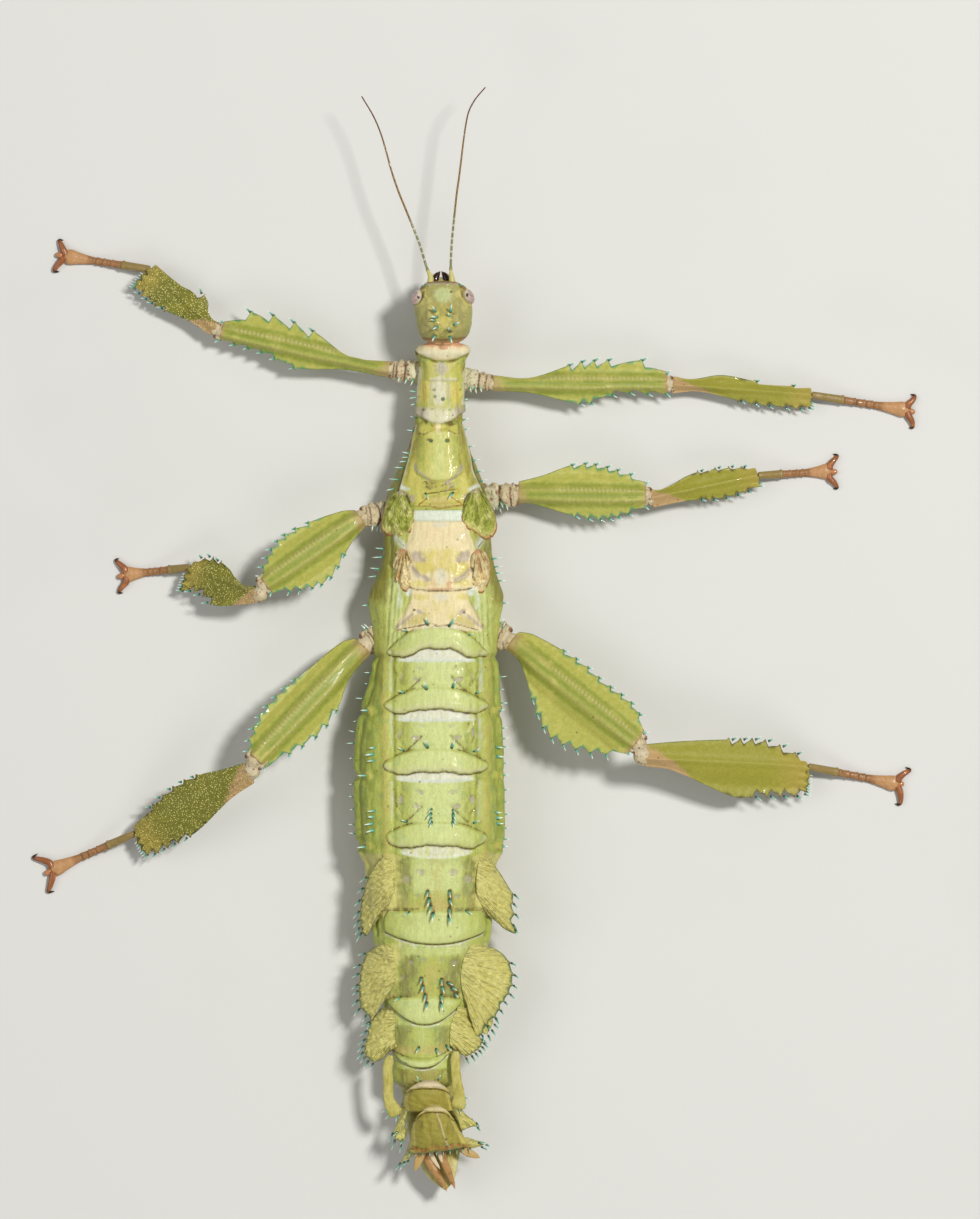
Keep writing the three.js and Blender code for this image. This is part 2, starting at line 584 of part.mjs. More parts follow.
// Half width of one side, with its notches.
function sideWidth(profile, teeth, bite, share) {
  const plain = sample(profile, share)[1];
  const tooth = teeth.findLastIndex((place) => place < share - 1e-6);
  if (tooth < 0) return plain;
  const start = teeth[tooth] + TOOTH_FACE;
  const stop = teeth[tooth + 1] ?? start + TOOTH_RUN;
  const depth = share < start
    ? (share - teeth[tooth]) / TOOTH_FACE
    : 1 - Math.min((share - start) / (stop - start), 1);
  return Math.max(plain - bite * depth, 0.5);
}

// Shares of the length where a leaf needs a ring.
function ringShares({ front, back, teeth }) {
  const places = [...front, ...back].map(([share]) => share);
  [...teeth.front, ...teeth.back].forEach((tooth) => places.push(tooth, tooth + TOOTH_FACE));
  places.sort((a, b) => a - b);
  return places.filter((share, i) => i === 0 || share - places[i - 1] > 0.012);
}

const CORE_SHARE = 0.42;        // the thick middle of a leaf, as a share of its half width
const CORE_SHAPE = [[0, 0.8], [0.1, 0.95], [0.5, 1], [0.9, 0.8], [1, 0.7]];

// A leafy length of leg: a thick core with thin edges.
function leaf(spec, grow = 0) {
  const [a, b] = [at(spec.from, spec.z[0]), at(spec.to, spec.z[1])];
  const ahead = new THREE.Vector3(b.x - a.x, b.y - a.y, 0).normalize();
  const front = new THREE.Vector3(-ahead.y, ahead.x, 0);
  if (front.y < 0) front.negate();
  const rings = ringShares(spec).map((share) => {
    const wf = sideWidth(spec.front, spec.teeth.front, spec.teeth.bite, share) + grow;
    const wb = sideWidth(spec.back, spec.teeth.back, spec.teeth.bite, share) + grow;
    const high = spec.core * sample(CORE_SHAPE, share)[1] + grow;
    const edge = MARGIN + grow;
    const centre = a.clone().lerp(b, share);
    if (share === 0) centre.addScaledVector(ahead, -grow);
    if (share === 1) centre.addScaledVector(ahead, grow);
    const profile = [
      [wf, edge], [wf * CORE_SHARE, high], [-wb * CORE_SHARE, high], [-wb, edge],
      [-wb, -edge], [-wb * CORE_SHARE, -high], [wf * CORE_SHARE, -high], [wf, -edge],
    ];
    return profile.map(([across, up]) => {
      const point = centre.clone().addScaledVector(front, across);
      point.z = Math.max(point.z + up, 0);
      return point;
    });
  });
  return loft(rings);
}

// A round rod between two places with a half width at each.
function rod(from, to, [z0, z1], [r0, r1], flat = 1) {
  const [a, b] = [at(from, z0), at(to, z1)];
  const ahead = new THREE.Vector3(b.x - a.x, b.y - a.y, 0).normalize();
  const side = new THREE.Vector3(-ahead.y, ahead.x, 0);
  const rings = [[0, r0], [0.6, (r0 + r1) / 2], [1, r1]].map(([share, radius]) => (
    Array.from({ length: 8 }, (_, i) => {
      const angle = (i / 8) * 2 * Math.PI;
      return a.clone().lerp(b, share)
        .addScaledVector(side, radius * Math.cos(angle))
        .add(new THREE.Vector3(0, 0, radius * flat * Math.sin(angle)));
    })));
  return loft(rings);
}

// Foot: share of its length, half width, thickness, height of the sole as a share of the ankle's
const TARSUS_SHAPE = [
  [0.02, 0.5, 0.9, 1], [0.4, 0.5, 0.85, 0.35], [0.46, 0.42, 0.8, 0.25], [0.7, 0.5, 0.85, 0],
  [0.78, 0.5, 0.9, 0], [0.93, 0.95, 1.05, 0], [1, 1.1, 1.1, 0],
];
function tarsus(ankle, ankleHeight, toe) {
  const [a, b] = [at(ankle), at(toe)];
  const ahead = b.clone().sub(a).normalize();
  const side = new THREE.Vector3(-ahead.y, ahead.x, 0);
  return loft(TARSUS_SHAPE.map(([share, half, thick, lift]) => {
    const sole = (ankleHeight - thick / 2) * lift;
    return Array.from({ length: 6 }, (_, i) => {
      const angle = (i / 6) * 2 * Math.PI;
      const point = a.clone().lerp(b, share).addScaledVector(side, half * Math.cos(angle));
      const up = Math.sin(angle) / Math.sin(Math.PI / 3);
      point.z = Math.max(sole + (thick / 2) * (1 + up), 0);
      return point;
    });
  }));
}

// Two hooked claws with the sucker pad between them.
const CLAW_HEIGHT = 0.75;
const CLAW_HALF = 0.42;
function claws(toe, tips, pad) {
  const root = at(pad, CLAW_HEIGHT);
  const middle = new THREE.SphereGeometry(1, 6, 4);
  middle.scale(0.6, 0.75, CLAW_HEIGHT);
  middle.translate(root.x, root.y, CLAW_HEIGHT);
  const hooks = tips.map((tip) => {
    const heel = at([toe[0] + (pad[0] - toe[0]) * 0.55, toe[1] + (pad[1] - toe[1]) * 0.55], CLAW_HEIGHT);
    const end = at(tip, CLAW_HALF);
    const ahead = end.clone().sub(heel).setZ(0).normalize();
    const side = new THREE.Vector3(-ahead.y, ahead.x, 0);
    return loft([[0, 0.55], [0.6, 0.45], [1, 0.26]].map(([share, half]) => (
      Array.from({ length: 5 }, (_, i) => {
        const angle = ((i + 0.25) / 5) * 2 * Math.PI;
        const point = heel.clone().lerp(end, share).addScaledVector(side, half * Math.cos(angle));
        point.z = Math.max(point.z + half * Math.sin(angle), 0);
        return point;
      }))));
  });
  return joined(solid(middle), hooks);
}

const trunkCutter = plainPiece(TRUNK, GAP + 0.15);
Object.entries(LEGS).forEach(([leg, { coxa, femur, tibia, foot }]) => {
  const name = (piece) => `${piece}_${leg}`;
  show(name('coxa'), trimmed(rod(coxa.from, coxa.to, coxa.z, coxa.half), trunkCutter, leaf(femur, GAP)),
    COLOURS.hip);
  show(name('femur'), leaf(femur), COLOURS.leg);
  show(name('tibia'), trimmed(leaf(tibia), leaf(femur, GAP)), COLOURS.shin);
  show(name('tarsus'), trimmed(tarsus(tibia.to, tibia.z[1], foot.to), leaf(tibia, GAP)), COLOURS.foot);
  const reach = foot.to.map((value, k) => value + (foot.to[k] - tibia.to[k]) * 0.02);
  const clear = tarsus(tibia.to, tibia.z[1], reach);
  show(name('claws'), trimmed(claws(foot.to, foot.claws, foot.pad), clear), COLOURS.claw);
});

// ---- the frame: floor at z = 0, origin under the middle of the box ----
const box = new THREE.Box3().setFromObject(insect);
const middle = box.getCenter(new THREE.Vector3());
insect.position.set(-middle.x, -middle.y, 0);

export default insect;
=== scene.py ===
# Giant prickly stick insect, an adult female sprawled flat: the looks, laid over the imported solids.
import math
from collections import namedtuple

import bpy
import numpy as np
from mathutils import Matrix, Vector


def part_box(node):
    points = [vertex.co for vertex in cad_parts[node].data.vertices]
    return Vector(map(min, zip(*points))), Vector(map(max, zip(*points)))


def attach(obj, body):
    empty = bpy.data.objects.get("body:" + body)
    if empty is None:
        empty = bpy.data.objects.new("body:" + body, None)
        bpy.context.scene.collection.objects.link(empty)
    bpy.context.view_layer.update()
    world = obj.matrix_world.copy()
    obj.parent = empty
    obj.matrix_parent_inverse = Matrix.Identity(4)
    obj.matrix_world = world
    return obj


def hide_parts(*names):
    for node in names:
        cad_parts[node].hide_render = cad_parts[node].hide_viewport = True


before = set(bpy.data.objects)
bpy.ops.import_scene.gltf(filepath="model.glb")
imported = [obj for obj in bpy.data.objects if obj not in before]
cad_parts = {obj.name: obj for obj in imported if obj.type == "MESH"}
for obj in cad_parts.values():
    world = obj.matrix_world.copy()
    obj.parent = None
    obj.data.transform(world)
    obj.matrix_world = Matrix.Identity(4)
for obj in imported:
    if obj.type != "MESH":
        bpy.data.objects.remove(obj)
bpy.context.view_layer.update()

# ---- the plan grid: columns run to the insect's right, rows run to her tail ----
MM = 0.001                      # shapes are worked out in millimetres
PLATE_COLUMNS = (400, 462)      # the plate under the tail spans these columns
PLATE_ROWS = (1082, 1189)       # and these rows
plate_low, plate_high = (np.array(corner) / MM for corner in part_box("operculum"))
SQUARE = (plate_high[1] - plate_low[1]) / (PLATE_ROWS[1] - PLATE_ROWS[0])
TURN = 2 * math.pi


def plan_x(column):
    return plate_low[0] + (column - PLATE_COLUMNS[0]) * SQUARE


def plan_y(row):
    return plate_high[1] - (row - PLATE_ROWS[0]) * SQUARE


def place(column, row, height):
    """Points in millimetres over places of the plan grid."""
    x = plan_x(np.asarray(column, float))
    y = plan_y(np.asarray(row, float))
    return np.stack(np.broadcast_arrays(x, y, height), axis=-1).astype(float)


# ---- numbers along a line ----

def sample(table, x):
    """Smooth values of a table's further columns at x; the first column is x itself."""
    table = np.asarray(table, float)
    x = np.asarray(x, float)
    keys = table[:, 0]
    last = len(keys) - 1
    i = np.clip(np.searchsorted(keys[1:], x), 0, last - 1)
    before, start, end, after = (np.maximum(i - 1, 0), i, i + 1, np.minimum(i + 2, last))
    span = keys[end] - keys[start]
    t = np.clip((x - keys[start]) / span, 0, 1)[..., None]
    span = span[..., None]
    leave = (table[end] - table[before]) / (keys[end] - keys[before])[..., None] * span
    arrive = (table[after] - table[start]) / (keys[after] - keys[start])[..., None] * span
    ease = t * t * (3 - 2 * t)
    value = table[start] + (table[end] - table[start]) * ease
    value += leave * t * (1 - t) ** 2 - arrive * t * t * (1 - t)
    return value[..., 1:]


def along(table, x):
    """The one value column of a table at x."""
    return sample(table, x)[..., 0]


def ramp(low, high, x):
    """0 below low, 1 above high and smooth between."""
    share = np.clip((x - low) / (high - low), 0.0, 1.0)
    return share * share * (3 - 2 * share)


def window(low, high, soft, x):
    """1 between low and high, fading out over soft outside them."""
    return ramp(low - soft, low, x) * (1 - ramp(high, high + soft, x))


def hill(x, half):
    """1 at 0, falling smoothly away on both sides."""
    return np.exp(-(x / half) ** 2)


def power(value, exponent):
    return np.sign(value) * np.abs(value) ** exponent


def spot(u, v, centre, radii, tilt=0.0):
    """1 inside an oval patch with a soft edge."""
    c, s = math.cos(tilt), math.sin(tilt)
    du, dv = u - centre[0], v - centre[1]
    reach = np.hypot((du * c + dv * s) / radii[0], (dv * c - du * s) / radii[1])
    return 1 - ramp(0.4, 1.4, reach)


def stroke(u, v, route, half):
    """A soft line through a route of (column, row) points."""
    nearest = np.full(np.shape(u), 1e9)
    for (u0, v0), (u1, v1) in zip(route, route[1:]):
        du, dv = u1 - u0, v1 - v0
        t = np.clip(((u - u0) * du + (v - v0) * dv) / (du * du + dv * dv), 0, 1)
        nearest = np.minimum(nearest, np.hypot(u - u0 - t * du, v - v0 - t * dv))
    return hill(nearest, half)


def rumple(points, size, seed, waves=10):
    """Smooth random swells of about that size, mostly between -1 and 1."""
    draw = np.random.default_rng(seed)
    total = 0.0
    for _ in range(waves):
        heading = draw.normal(size=points.shape[-1])
        heading *= TURN * draw.uniform(0.6, 1.5) / size / np.linalg.norm(heading)
        total = total + np.sin(points @ heading + draw.uniform(0, TURN))
    return total * math.sqrt(2 / waves) * 0.7


def curve(route, count):
    """Points evenly spaced on a smooth curve through a route of points."""
    route = np.asarray(route, float)
    table = np.column_stack([np.arange(len(route)), route])
    fine = sample(table, np.linspace(0, len(route) - 1, count * 4))
    steps = np.linalg.norm(np.diff(fine, axis=0), axis=1)
    reached = np.concatenate([[0], np.cumsum(steps)])
    wanted = np.linspace(0, reached[-1], count)
    return np.stack([np.interp(wanted, reached, column) for column in fine.T], axis=1)


# ---- meshes ----

def by_ring(values):
    """Values for each ring, or for each ring and side, ready to be spread over the rings."""
    values = np.asarray(values, float)
    return values[:, None] if values.ndim == 1 else values


def shell(points, marks=None):
    """A closed skin over rings of points, with its marks; both ends are closed with a cap."""
    rows, columns = points.shape[:2]
    row = np.arange(rows - 1)[:, None] * columns
    here = np.arange(columns)
    there = (here + 1) % columns
    faces = np.stack([row + here, row + there, row + columns + there, row + columns + here], axis=-1)
    faces = faces.reshape(-1, 4)
    caps = [here[::-1], here + (rows - 1) * columns]
    flat = points.reshape(-1, 3)
    a, b, c, d = (flat[faces[:, k]] - flat.mean(axis=0) for k in range(4))
    volume = np.einsum("ij,ij->", a, np.cross(b, c)) + np.einsum("ij,ij->", a, np.cross(c, d))
    if volume < 0:
        faces = faces[:, ::-1]
        caps = [cap[::-1] for cap in caps]
    spread = {name: np.broadcast_to(by_ring(mark), points.shape[:2]).reshape(-1)
              for name, mark in (marks or {}).items()}
    return {"points": flat, "faces": faces, "caps": caps, "marks": spread}


def piece(name, shells, material, slot, *nodes):
    """One object of several shells, riding on the body and standing for some of the solids."""
    points, faces, start = [], [], 0
    names = sorted({mark for part in shells for mark in part["marks"]})
    marks = {mark: [] for mark in names}
    for part in shells:
        points.append(part["points"])
        faces += (part["faces"] + start).tolist()
        faces += [(cap + start).tolist() for cap in part["caps"]]
        count = len(part["points"])
        for mark in names:
            marks[mark].append(part["marks"].get(mark, np.zeros(count)))
        start += count
    mesh = bpy.data.meshes.new(name)
    mesh.from_pydata((np.concatenate(points) * MM).tolist(), [], faces)
    mesh.polygons.foreach_set("use_smooth", np.ones(len(mesh.polygons), bool))
    for mark in names:
        layer = mesh.attributes.new(mark, "FLOAT", "POINT")
        layer.data.foreach_set("value", np.concatenate(marks[mark]).astype(np.float32))
    mesh.materials.append(material)
    mesh.update()
    made = bpy.data.objects.new(name, mesh)
    bpy.context.scene.collection.objects.link(made)
    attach(made, "root")
    if nodes:
        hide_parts(*nodes)
    return made


def tube(route, radii, sides=12, flat=1.0, marks=None, floor=None):
    """A round rod along a route of points; radii and flat are by ring, or by ring and side."""
    heading = np.gradient(route, axis=0)
    heading /= np.linalg.norm(heading, axis=1)[:, None]
    across = np.stack([-heading[:, 1], heading[:, 0], np.zeros(len(route))], axis=1)
    across /= np.maximum(np.linalg.norm(across, axis=1), 1e-6)[:, None]
    upward = np.cross(heading, across)
    upward *= np.where(upward[:, 2] < 0, -1, 1)[:, None]
    angle = np.arange(sides) / sides * TURN
    radii, flat = by_ring(radii), by_ring(flat)
    points = route[:, None, :] + (radii * np.cos(angle))[..., None] * across[:, None, :]
    points = points + (radii * flat * np.sin(angle))[..., None] * upward[:, None, :]
    if floor is not None:
        points[..., 2] = np.maximum(points[..., 2], floor)
    return shell(points, marks)


THORN_RINGS = 7
THORN_SIDES = 7


def thorn(foot, tip, radius, sag=0.12, light=0.0):
    """A slender thorn from foot to tip, a little curved; its mark `tip` runs from light up to 1."""
    foot, tip = np.asarray(foot, float), np.asarray(tip, float)
    share = np.linspace(0, 1, THORN_RINGS)
    route = foot + share[:, None] * (tip - foot)
    route[:, 2] += sag * np.linalg.norm(tip - foot) * 4 * share * (1 - share)
    radii = radius * (1 - share) ** 0.8 + 0.012
    heading = (tip - foot) / np.linalg.norm(tip - foot)
    side = np.cross(heading, [0.31, 0.17, 0.94])
    side /= np.linalg.norm(side)
    other = np.cross(heading, side)
    angle = np.arange(THORN_SIDES) / THORN_SIDES * TURN
    ring = np.cos(angle)[:, None] * side + np.sin(angle)[:, None] * other
    return shell(route[:, None, :] + radii[:, None, None] * ring, {"tip": light + (1 - light) * share})


# ---- finishes ----

def paint(red, green, blue):
    """A colour given as a paint chart gives it, from 0 to 255, as the light it reflects."""
    shares = (channel / 255 for channel in (red, green, blue))
    light = [c / 12.92 if c <= 0.04045 else ((c + 0.055) / 1.055) ** 2.4 for c in shares]
    return (*light, 1.0)


class Nodes:
    """Adds nodes to a tree, feeding each input from another node or with a plain value."""

    def __init__(self, tree):
        self.tree = tree

    def add(self, kind, inputs=None, **settings):
        node = self.tree.nodes.new("ShaderNode" + kind)
        for key, value in settings.items():
            setattr(node, key, value)
        for key, value in (inputs or {}).items():
            self.feed(node.inputs[key], value)
        return node

    def feed(self, socket, value):
        if isinstance(value, bpy.types.NodeSocket):
            self.tree.links.new(value, socket)
        else:
            socket.default_value = value

    def math(self, operation, first, second=0.0, clamp=False):
        node = self.add("Math", {0: first, 1: second}, operation=operation, use_clamp=clamp)
        return node.outputs[0]

    def times(self, first, second):
        return self.math("MULTIPLY", first, second)

    def rest(self, value):
        return self.math("SUBTRACT", 1.0, value)

    def mix(self, factor, first, second, blend="MIX"):
        node = self.add("Mix", {0: factor, 6: first, 7: second}, data_type="RGBA", blend_type=blend)
        return node.outputs[2]

    def smooth(self, value, low, high, start=0.0, end=1.0):
        ends = {0: value, 1: low, 2: high, 3: start, 4: end}
        return self.add("MapRange", ends, interpolation_type="SMOOTHSTEP").outputs[0]

    def mark(self, name):
        return self.add("Attribute", attribute_name=name).outputs["Fac"]

    def spread(self):
        """Where a point of the surface lies, in millimetres."""
        where = self.add("TexCoord").outputs["Object"]
        return self.add("VectorMath", {0: where, 3: 1 / MM}, operation="SCALE").outputs[0]

    def noise(self, where, size, detail=3.0, rough=0.55):
        scale = self.math("DIVIDE", 1.0, size)
        ends = {"Vector": where, "Scale": scale, "Detail": detail, "Roughness": rough}
        return self.add("TexNoise", ends).outputs["Fac"]

    def use(self, group, output, **values):
        node = self.tree.nodes.new("ShaderNodeGroup")
        node.node_tree = group
        for key, value in values.items():
            self.feed(node.inputs[key], value)
        return node.outputs[output]


def effect(name, inputs, outputs):
    """An empty shader node group with named inputs, each with its usual value, and outputs."""
    tree = bpy.data.node_groups.new(name, "ShaderNodeTree")
    for key, value in inputs.items():
        kind = "NodeSocketVector" if value is None else "NodeSocketFloat"
        socket = tree.interface.new_socket(name=key, in_out="INPUT", socket_type=kind)
        if value is not None:
            socket.default_value = value
    for key in outputs:
        tree.interface.new_socket(name=key, in_out="OUTPUT", socket_type="NodeSocketFloat")
    given = tree.nodes.new("NodeGroupInput").outputs
    put = tree.nodes.new("NodeGroupOutput").inputs
    return tree, Nodes(tree), given, put


def blotch_effect():
    """Soft blotches: Mask is 1 on them."""
    tree, nodes, given, put = effect("blotches", {"Place": None, "Size": 2.0, "Share": 0.5}, ["Mask"])
    cloud = nodes.noise(given["Place"], given["Size"], 3.0)
    low = nodes.math("SUBTRACT", 0.92, nodes.times(given["Share"], 0.8))
    nodes.feed(put["Mask"], nodes.smooth(cloud, low, nodes.math("ADD", low, 0.16)))
    return tree


def grain_effect():
    """The fine grain of the cuticle: Height for its bumps, Mask for its light and dark."""
    tree, nodes, given, put = effect("grain", {"Place": None, "Size": 0.3}, ["Height", "Mask"])
    coarse = nodes.noise(given["Place"], given["Size"], 4.0, 0.6)
    fine = nodes.noise(given["Place"], nodes.times(given["Size"], 0.35), 2.0)
    height = nodes.math("ADD", nodes.times(coarse, 0.7), nodes.times(fine, 0.3))
    nodes.feed(put["Height"], height)
    nodes.feed(put["Mask"], nodes.smooth(height, 0.36, 0.64))
    return tree


def pit_effect():
    """Scattered tiny pits: Mask is 1 in them, Height falls in them."""
    sizes = {"Place": None, "Spacing": 0.9, "Width": 0.2}
    tree, nodes, given, put = effect("pits", sizes, ["Mask", "Height"])
    scale = nodes.math("DIVIDE", 1.0, given["Spacing"])
    cells = nodes.add("TexVoronoi", {"Vector": given["Place"], "Scale": scale}).outputs["Distance"]
    inner = nodes.times(given["Width"], 0.4)
    pit = nodes.rest(nodes.smooth(cells, inner, given["Width"]))
    nodes.feed(put["Mask"], pit)
    nodes.feed(put["Height"], nodes.rest(pit))
    return tree


def vein_effect():
    """A net of fine veins between swollen cells: Mask is 1 on the veins, Height swells between them."""
    sizes = {"Place": None, "Spacing": 0.8, "Width": 0.12}
    tree, nodes, given, put = effect("veins", sizes, ["Mask", "Height"])
    bent = nodes.add("TexNoise", {"Vector": given["Place"], "Scale": 1.1}).outputs["Color"]
    offset = nodes.add("VectorMath", {0: bent, 3: 0.5}, operation="SCALE").outputs[0]
    where = nodes.add("VectorMath", {0: given["Place"], 1: offset}, operation="ADD").outputs[0]
    scale = nodes.math("DIVIDE", 1.0, given["Spacing"])
    cells = nodes.add("TexVoronoi", {"Vector": where, "Scale": scale}, feature="DISTANCE_TO_EDGE")
    edge = cells.outputs["Distance"]
    nodes.feed(put["Mask"], nodes.rest(nodes.smooth(edge, 0.0, given["Width"])))
    nodes.feed(put["Height"], nodes.smooth(edge, 0.0, 0.45))
    return tree


def granule_effect():
    """Round grains standing on the skin: Height swells and Mask is 1 on their tops."""
    tree, nodes, given, put = effect("granules", {"Place": None, "Spacing": 0.45}, ["Mask", "Height"])
    scale = nodes.math("DIVIDE", 1.0, given["Spacing"])
    cells = nodes.add("TexVoronoi", {"Vector": given["Place"], "Scale": scale, "Randomness": 0.9})
    bead = nodes.rest(nodes.smooth(cells.outputs["Distance"], 0.1, 0.5))
    nodes.feed(put["Height"], bead)
    nodes.feed(put["Mask"], nodes.smooth(bead, 0.45, 0.9))
    return tree


def ragged_effect():
    """A mark with its soft edge broken up: Reach is how far the edge wanders."""
    sizes = {"Place": None, "Mark": 0.0, "Size": 0.7, "Reach": 0.5}
    tree, nodes, given, put = effect("ragged_edge", sizes, ["Mask"])
    cloud = nodes.math("SUBTRACT", nodes.noise(given["Place"], given["Size"], 3.0), 0.5)
    border = nodes.times(given["Mark"], nodes.rest(given["Mark"]))
    wander = nodes.times(nodes.times(cloud, given["Reach"]), 8.0)
    moved = nodes.math("ADD", given["Mark"], nodes.times(wander, border))
    nodes.feed(put["Mask"], nodes.smooth(moved, 0.05, 0.9))
    return tree


BLOTCH, GRAIN, PITS = blotch_effect(), grain_effect(), pit_effect()
VEINS, GRANULES, RAGGED = vein_effect(), granule_effect(), ragged_effect()


SHEEN_OF_WAX = 0.32             # how strongly her waxy skin mirrors the light
SHADE = (0.7, 0.69, 0.62, 1)    # what the dark of the grain multiplies a colour with


class Coat:
    """A new material with its Principled shader, and the base colour that is laid on it coat by coat."""

    def __init__(self, name, roughness, coat=0.0):
        self.material = bpy.data.materials.new(name)
        self.material.use_nodes = True
        self.material.node_tree.nodes.clear()
        self.nodes = Nodes(self.material.node_tree)
        ends = {"Roughness": roughness, "Coat Weight": coat, "Specular IOR Level": SHEEN_OF_WAX}
        self.shader = self.nodes.add("BsdfPrincipled", ends)
        self.nodes.add("OutputMaterial", {"Surface": self.shader.outputs["BSDF"]})
        self.where = self.nodes.spread()

    def stretched(self, across, length):
        """The place, squeezed or stretched across and along the body."""
        ends = {0: self.where, 1: (across, length, 1.0)}
        return self.nodes.add("VectorMath", ends, operation="MULTIPLY").outputs[0]

    def mask(self, group, where=None, **values):
        return self.nodes.use(group, "Mask", Place=self.where if where is None else where, **values)

    def height(self, group, where=None, **values):
        return self.nodes.use(group, "Height", Place=self.where if where is None else where, **values)

    def blotch(self, first, second, size, share=0.5):
        """Starts the colour with soft blotches of two tints."""
        self.colour = self.nodes.mix(self.mask(BLOTCH, Size=size, Share=share), first, second)

    def over(self, tint, weight):
        self.colour = self.nodes.mix(weight, self.colour, tint)

    def lay(self, layers, where=None):
        """Tints laid over one another, each (mark, tint, strength, how ragged its edge is)."""
        for mark, tint, strength, reach in layers:
            weight = self.mask(RAGGED, where, Mark=self.nodes.mark(mark), Reach=reach)
            self.over(tint, self.nodes.times(weight, strength))

    def shade(self, strength, size, where=None):
        """Darkens the colour in the lows of a grain of that size."""
        low = self.nodes.rest(self.mask(GRAIN, where, Size=size))
        darker = self.nodes.mix(1.0, self.colour, SHADE, "MULTIPLY")
        self.over(darker, self.nodes.times(low, strength))

    def done(self, *heights):
        """Feeds the colour and the bumps, each a height and its depth in millimetres."""
        nodes, ends = self.nodes, {}
        for height, depth in heights:
            bump = nodes.add("Bump", {"Height": height, "Strength": 1.0, "Distance": depth * MM, **ends})
            ends = {"Normal": bump.outputs["Normal"]}
        nodes.feed(self.shader.inputs["Normal"], ends["Normal"])
        nodes.feed(self.shader.inputs["Base Color"], self.colour)
        return self.material



# ---- the colours of her skin ----
LEAF_GREEN = paint(178, 186, 92)
DEEP_GREEN = paint(134, 148, 56)
OLIVE = paint(120, 112, 38)
BRIGHT = paint(206, 216, 148)
OCHRE = paint(190, 176, 104)
STRAW = paint(208, 194, 100)
CREAM = paint(231, 215, 172)
PALE = paint(216, 212, 186)
MINT = paint(216, 224, 214)
SAND = paint(206, 200, 160)
RUST = paint(150, 84, 40)
HEAD_GREEN = paint(158, 160, 88)
HEAD_OLIVE = paint(168, 162, 98)
HEAD_STRAW = paint(192, 184, 114)
HEAD_BROWN = paint(124, 88, 44)
LOBE_LINE = paint(78, 112, 74)
THIGH_GROOVE = paint(118, 136, 44)
MARGIN_TEAL = paint(70, 140, 96)
SHIN_END = paint(176, 154, 74)
LILAC = paint(174, 162, 154)
ROSE = paint(214, 150, 116)
UMBER = paint(92, 66, 30)
TEAL = paint(46, 84, 58)
GREY_GREEN = paint(138, 138, 84)
SAGE = paint(160, 176, 96)
FRONS = paint(192, 202, 144)
OLIVE_LEAF = paint(158, 148, 62)
OCHRE_LEAF = paint(178, 168, 86)
PINK_CREAM = paint(216, 200, 168)
DARK_LEAF = paint(84, 104, 50)
THIGH_GREEN = paint(160, 164, 70)
THIGH_YELLOW = paint(186, 182, 92)
RIDGE_PALE = paint(188, 184, 124)
RIDGE_DARK = paint(162, 160, 88)
STEM = paint(176, 148, 104)
SHIN_OLIVE = paint(152, 148, 52)
# Painted shade: the darker base of the shins of her left legs.
SHIN_SHADED = paint(119, 118, 42)
SHIN_TAN = paint(184, 150, 106)
SUGAR = paint(236, 226, 142)
HIP_CREAM = paint(208, 202, 168)
HIP_ROSE = paint(150, 112, 80)
KNEE_TAN = paint(192, 164, 126)
RED_BROWN = paint(96, 44, 22)
FOOT_OLIVE = paint(146, 128, 74)
FOOT_ORANGE = paint(158, 112, 70)
FOOT_TAN = paint(136, 96, 60)
FOOT_FLARE = paint(202, 154, 106)
DARK_HORN = paint(38, 20, 12)
CLAW_BROWN = paint(140, 84, 46)
CLAW_ORANGE = paint(168, 104, 58)
PAD_ORANGE = paint(176, 120, 78)
WING_OLIVE = paint(168, 176, 76)
WING_YELLOW = paint(214, 212, 132)
WING_RIM = paint(208, 190, 124)
WING_VEIN = paint(124, 128, 46)
STUB_CREAM = paint(232, 220, 170)
STUB_ROSE = paint(216, 192, 132)
STUB_RIM = paint(210, 176, 120)
STUB_VEIN = paint(160, 108, 58)
LOBE_OCHRE = paint(208, 202, 124)
LOBE_TAN = paint(210, 203, 118)
LOBE_RIM = paint(196, 186, 106)
LOBE_FOLD = paint(160, 152, 78)
CERCUS_TAN = paint(200, 164, 108)
VALVE_ORANGE = paint(168, 128, 76)
VALVE_RED = paint(140, 96, 50)
SPINE_FOOT = paint(40, 72, 50)
SPINE_TEAL = paint(104, 178, 156)
SPINE_TIP = paint(226, 240, 228)
EYE_MAUVE = paint(176, 152, 146)
EYE_CREAM = paint(204, 198, 166)
EYE_ROSE = paint(140, 114, 108)
EYE_DARK = paint(40, 26, 24)
FEELER_GREEN = paint(124, 124, 84)
FEELER_BROWN = paint(140, 108, 48)
LIP_OLIVE = paint(178, 166, 100)
PALP_TAN = paint(160, 128, 74)
JAW_DARK = paint(44, 18, 12)
JAW_RED = paint(88, 34, 20)
FLOOR_PALE = paint(208, 208, 205)
FLOOR_GREY = paint(200, 200, 197)

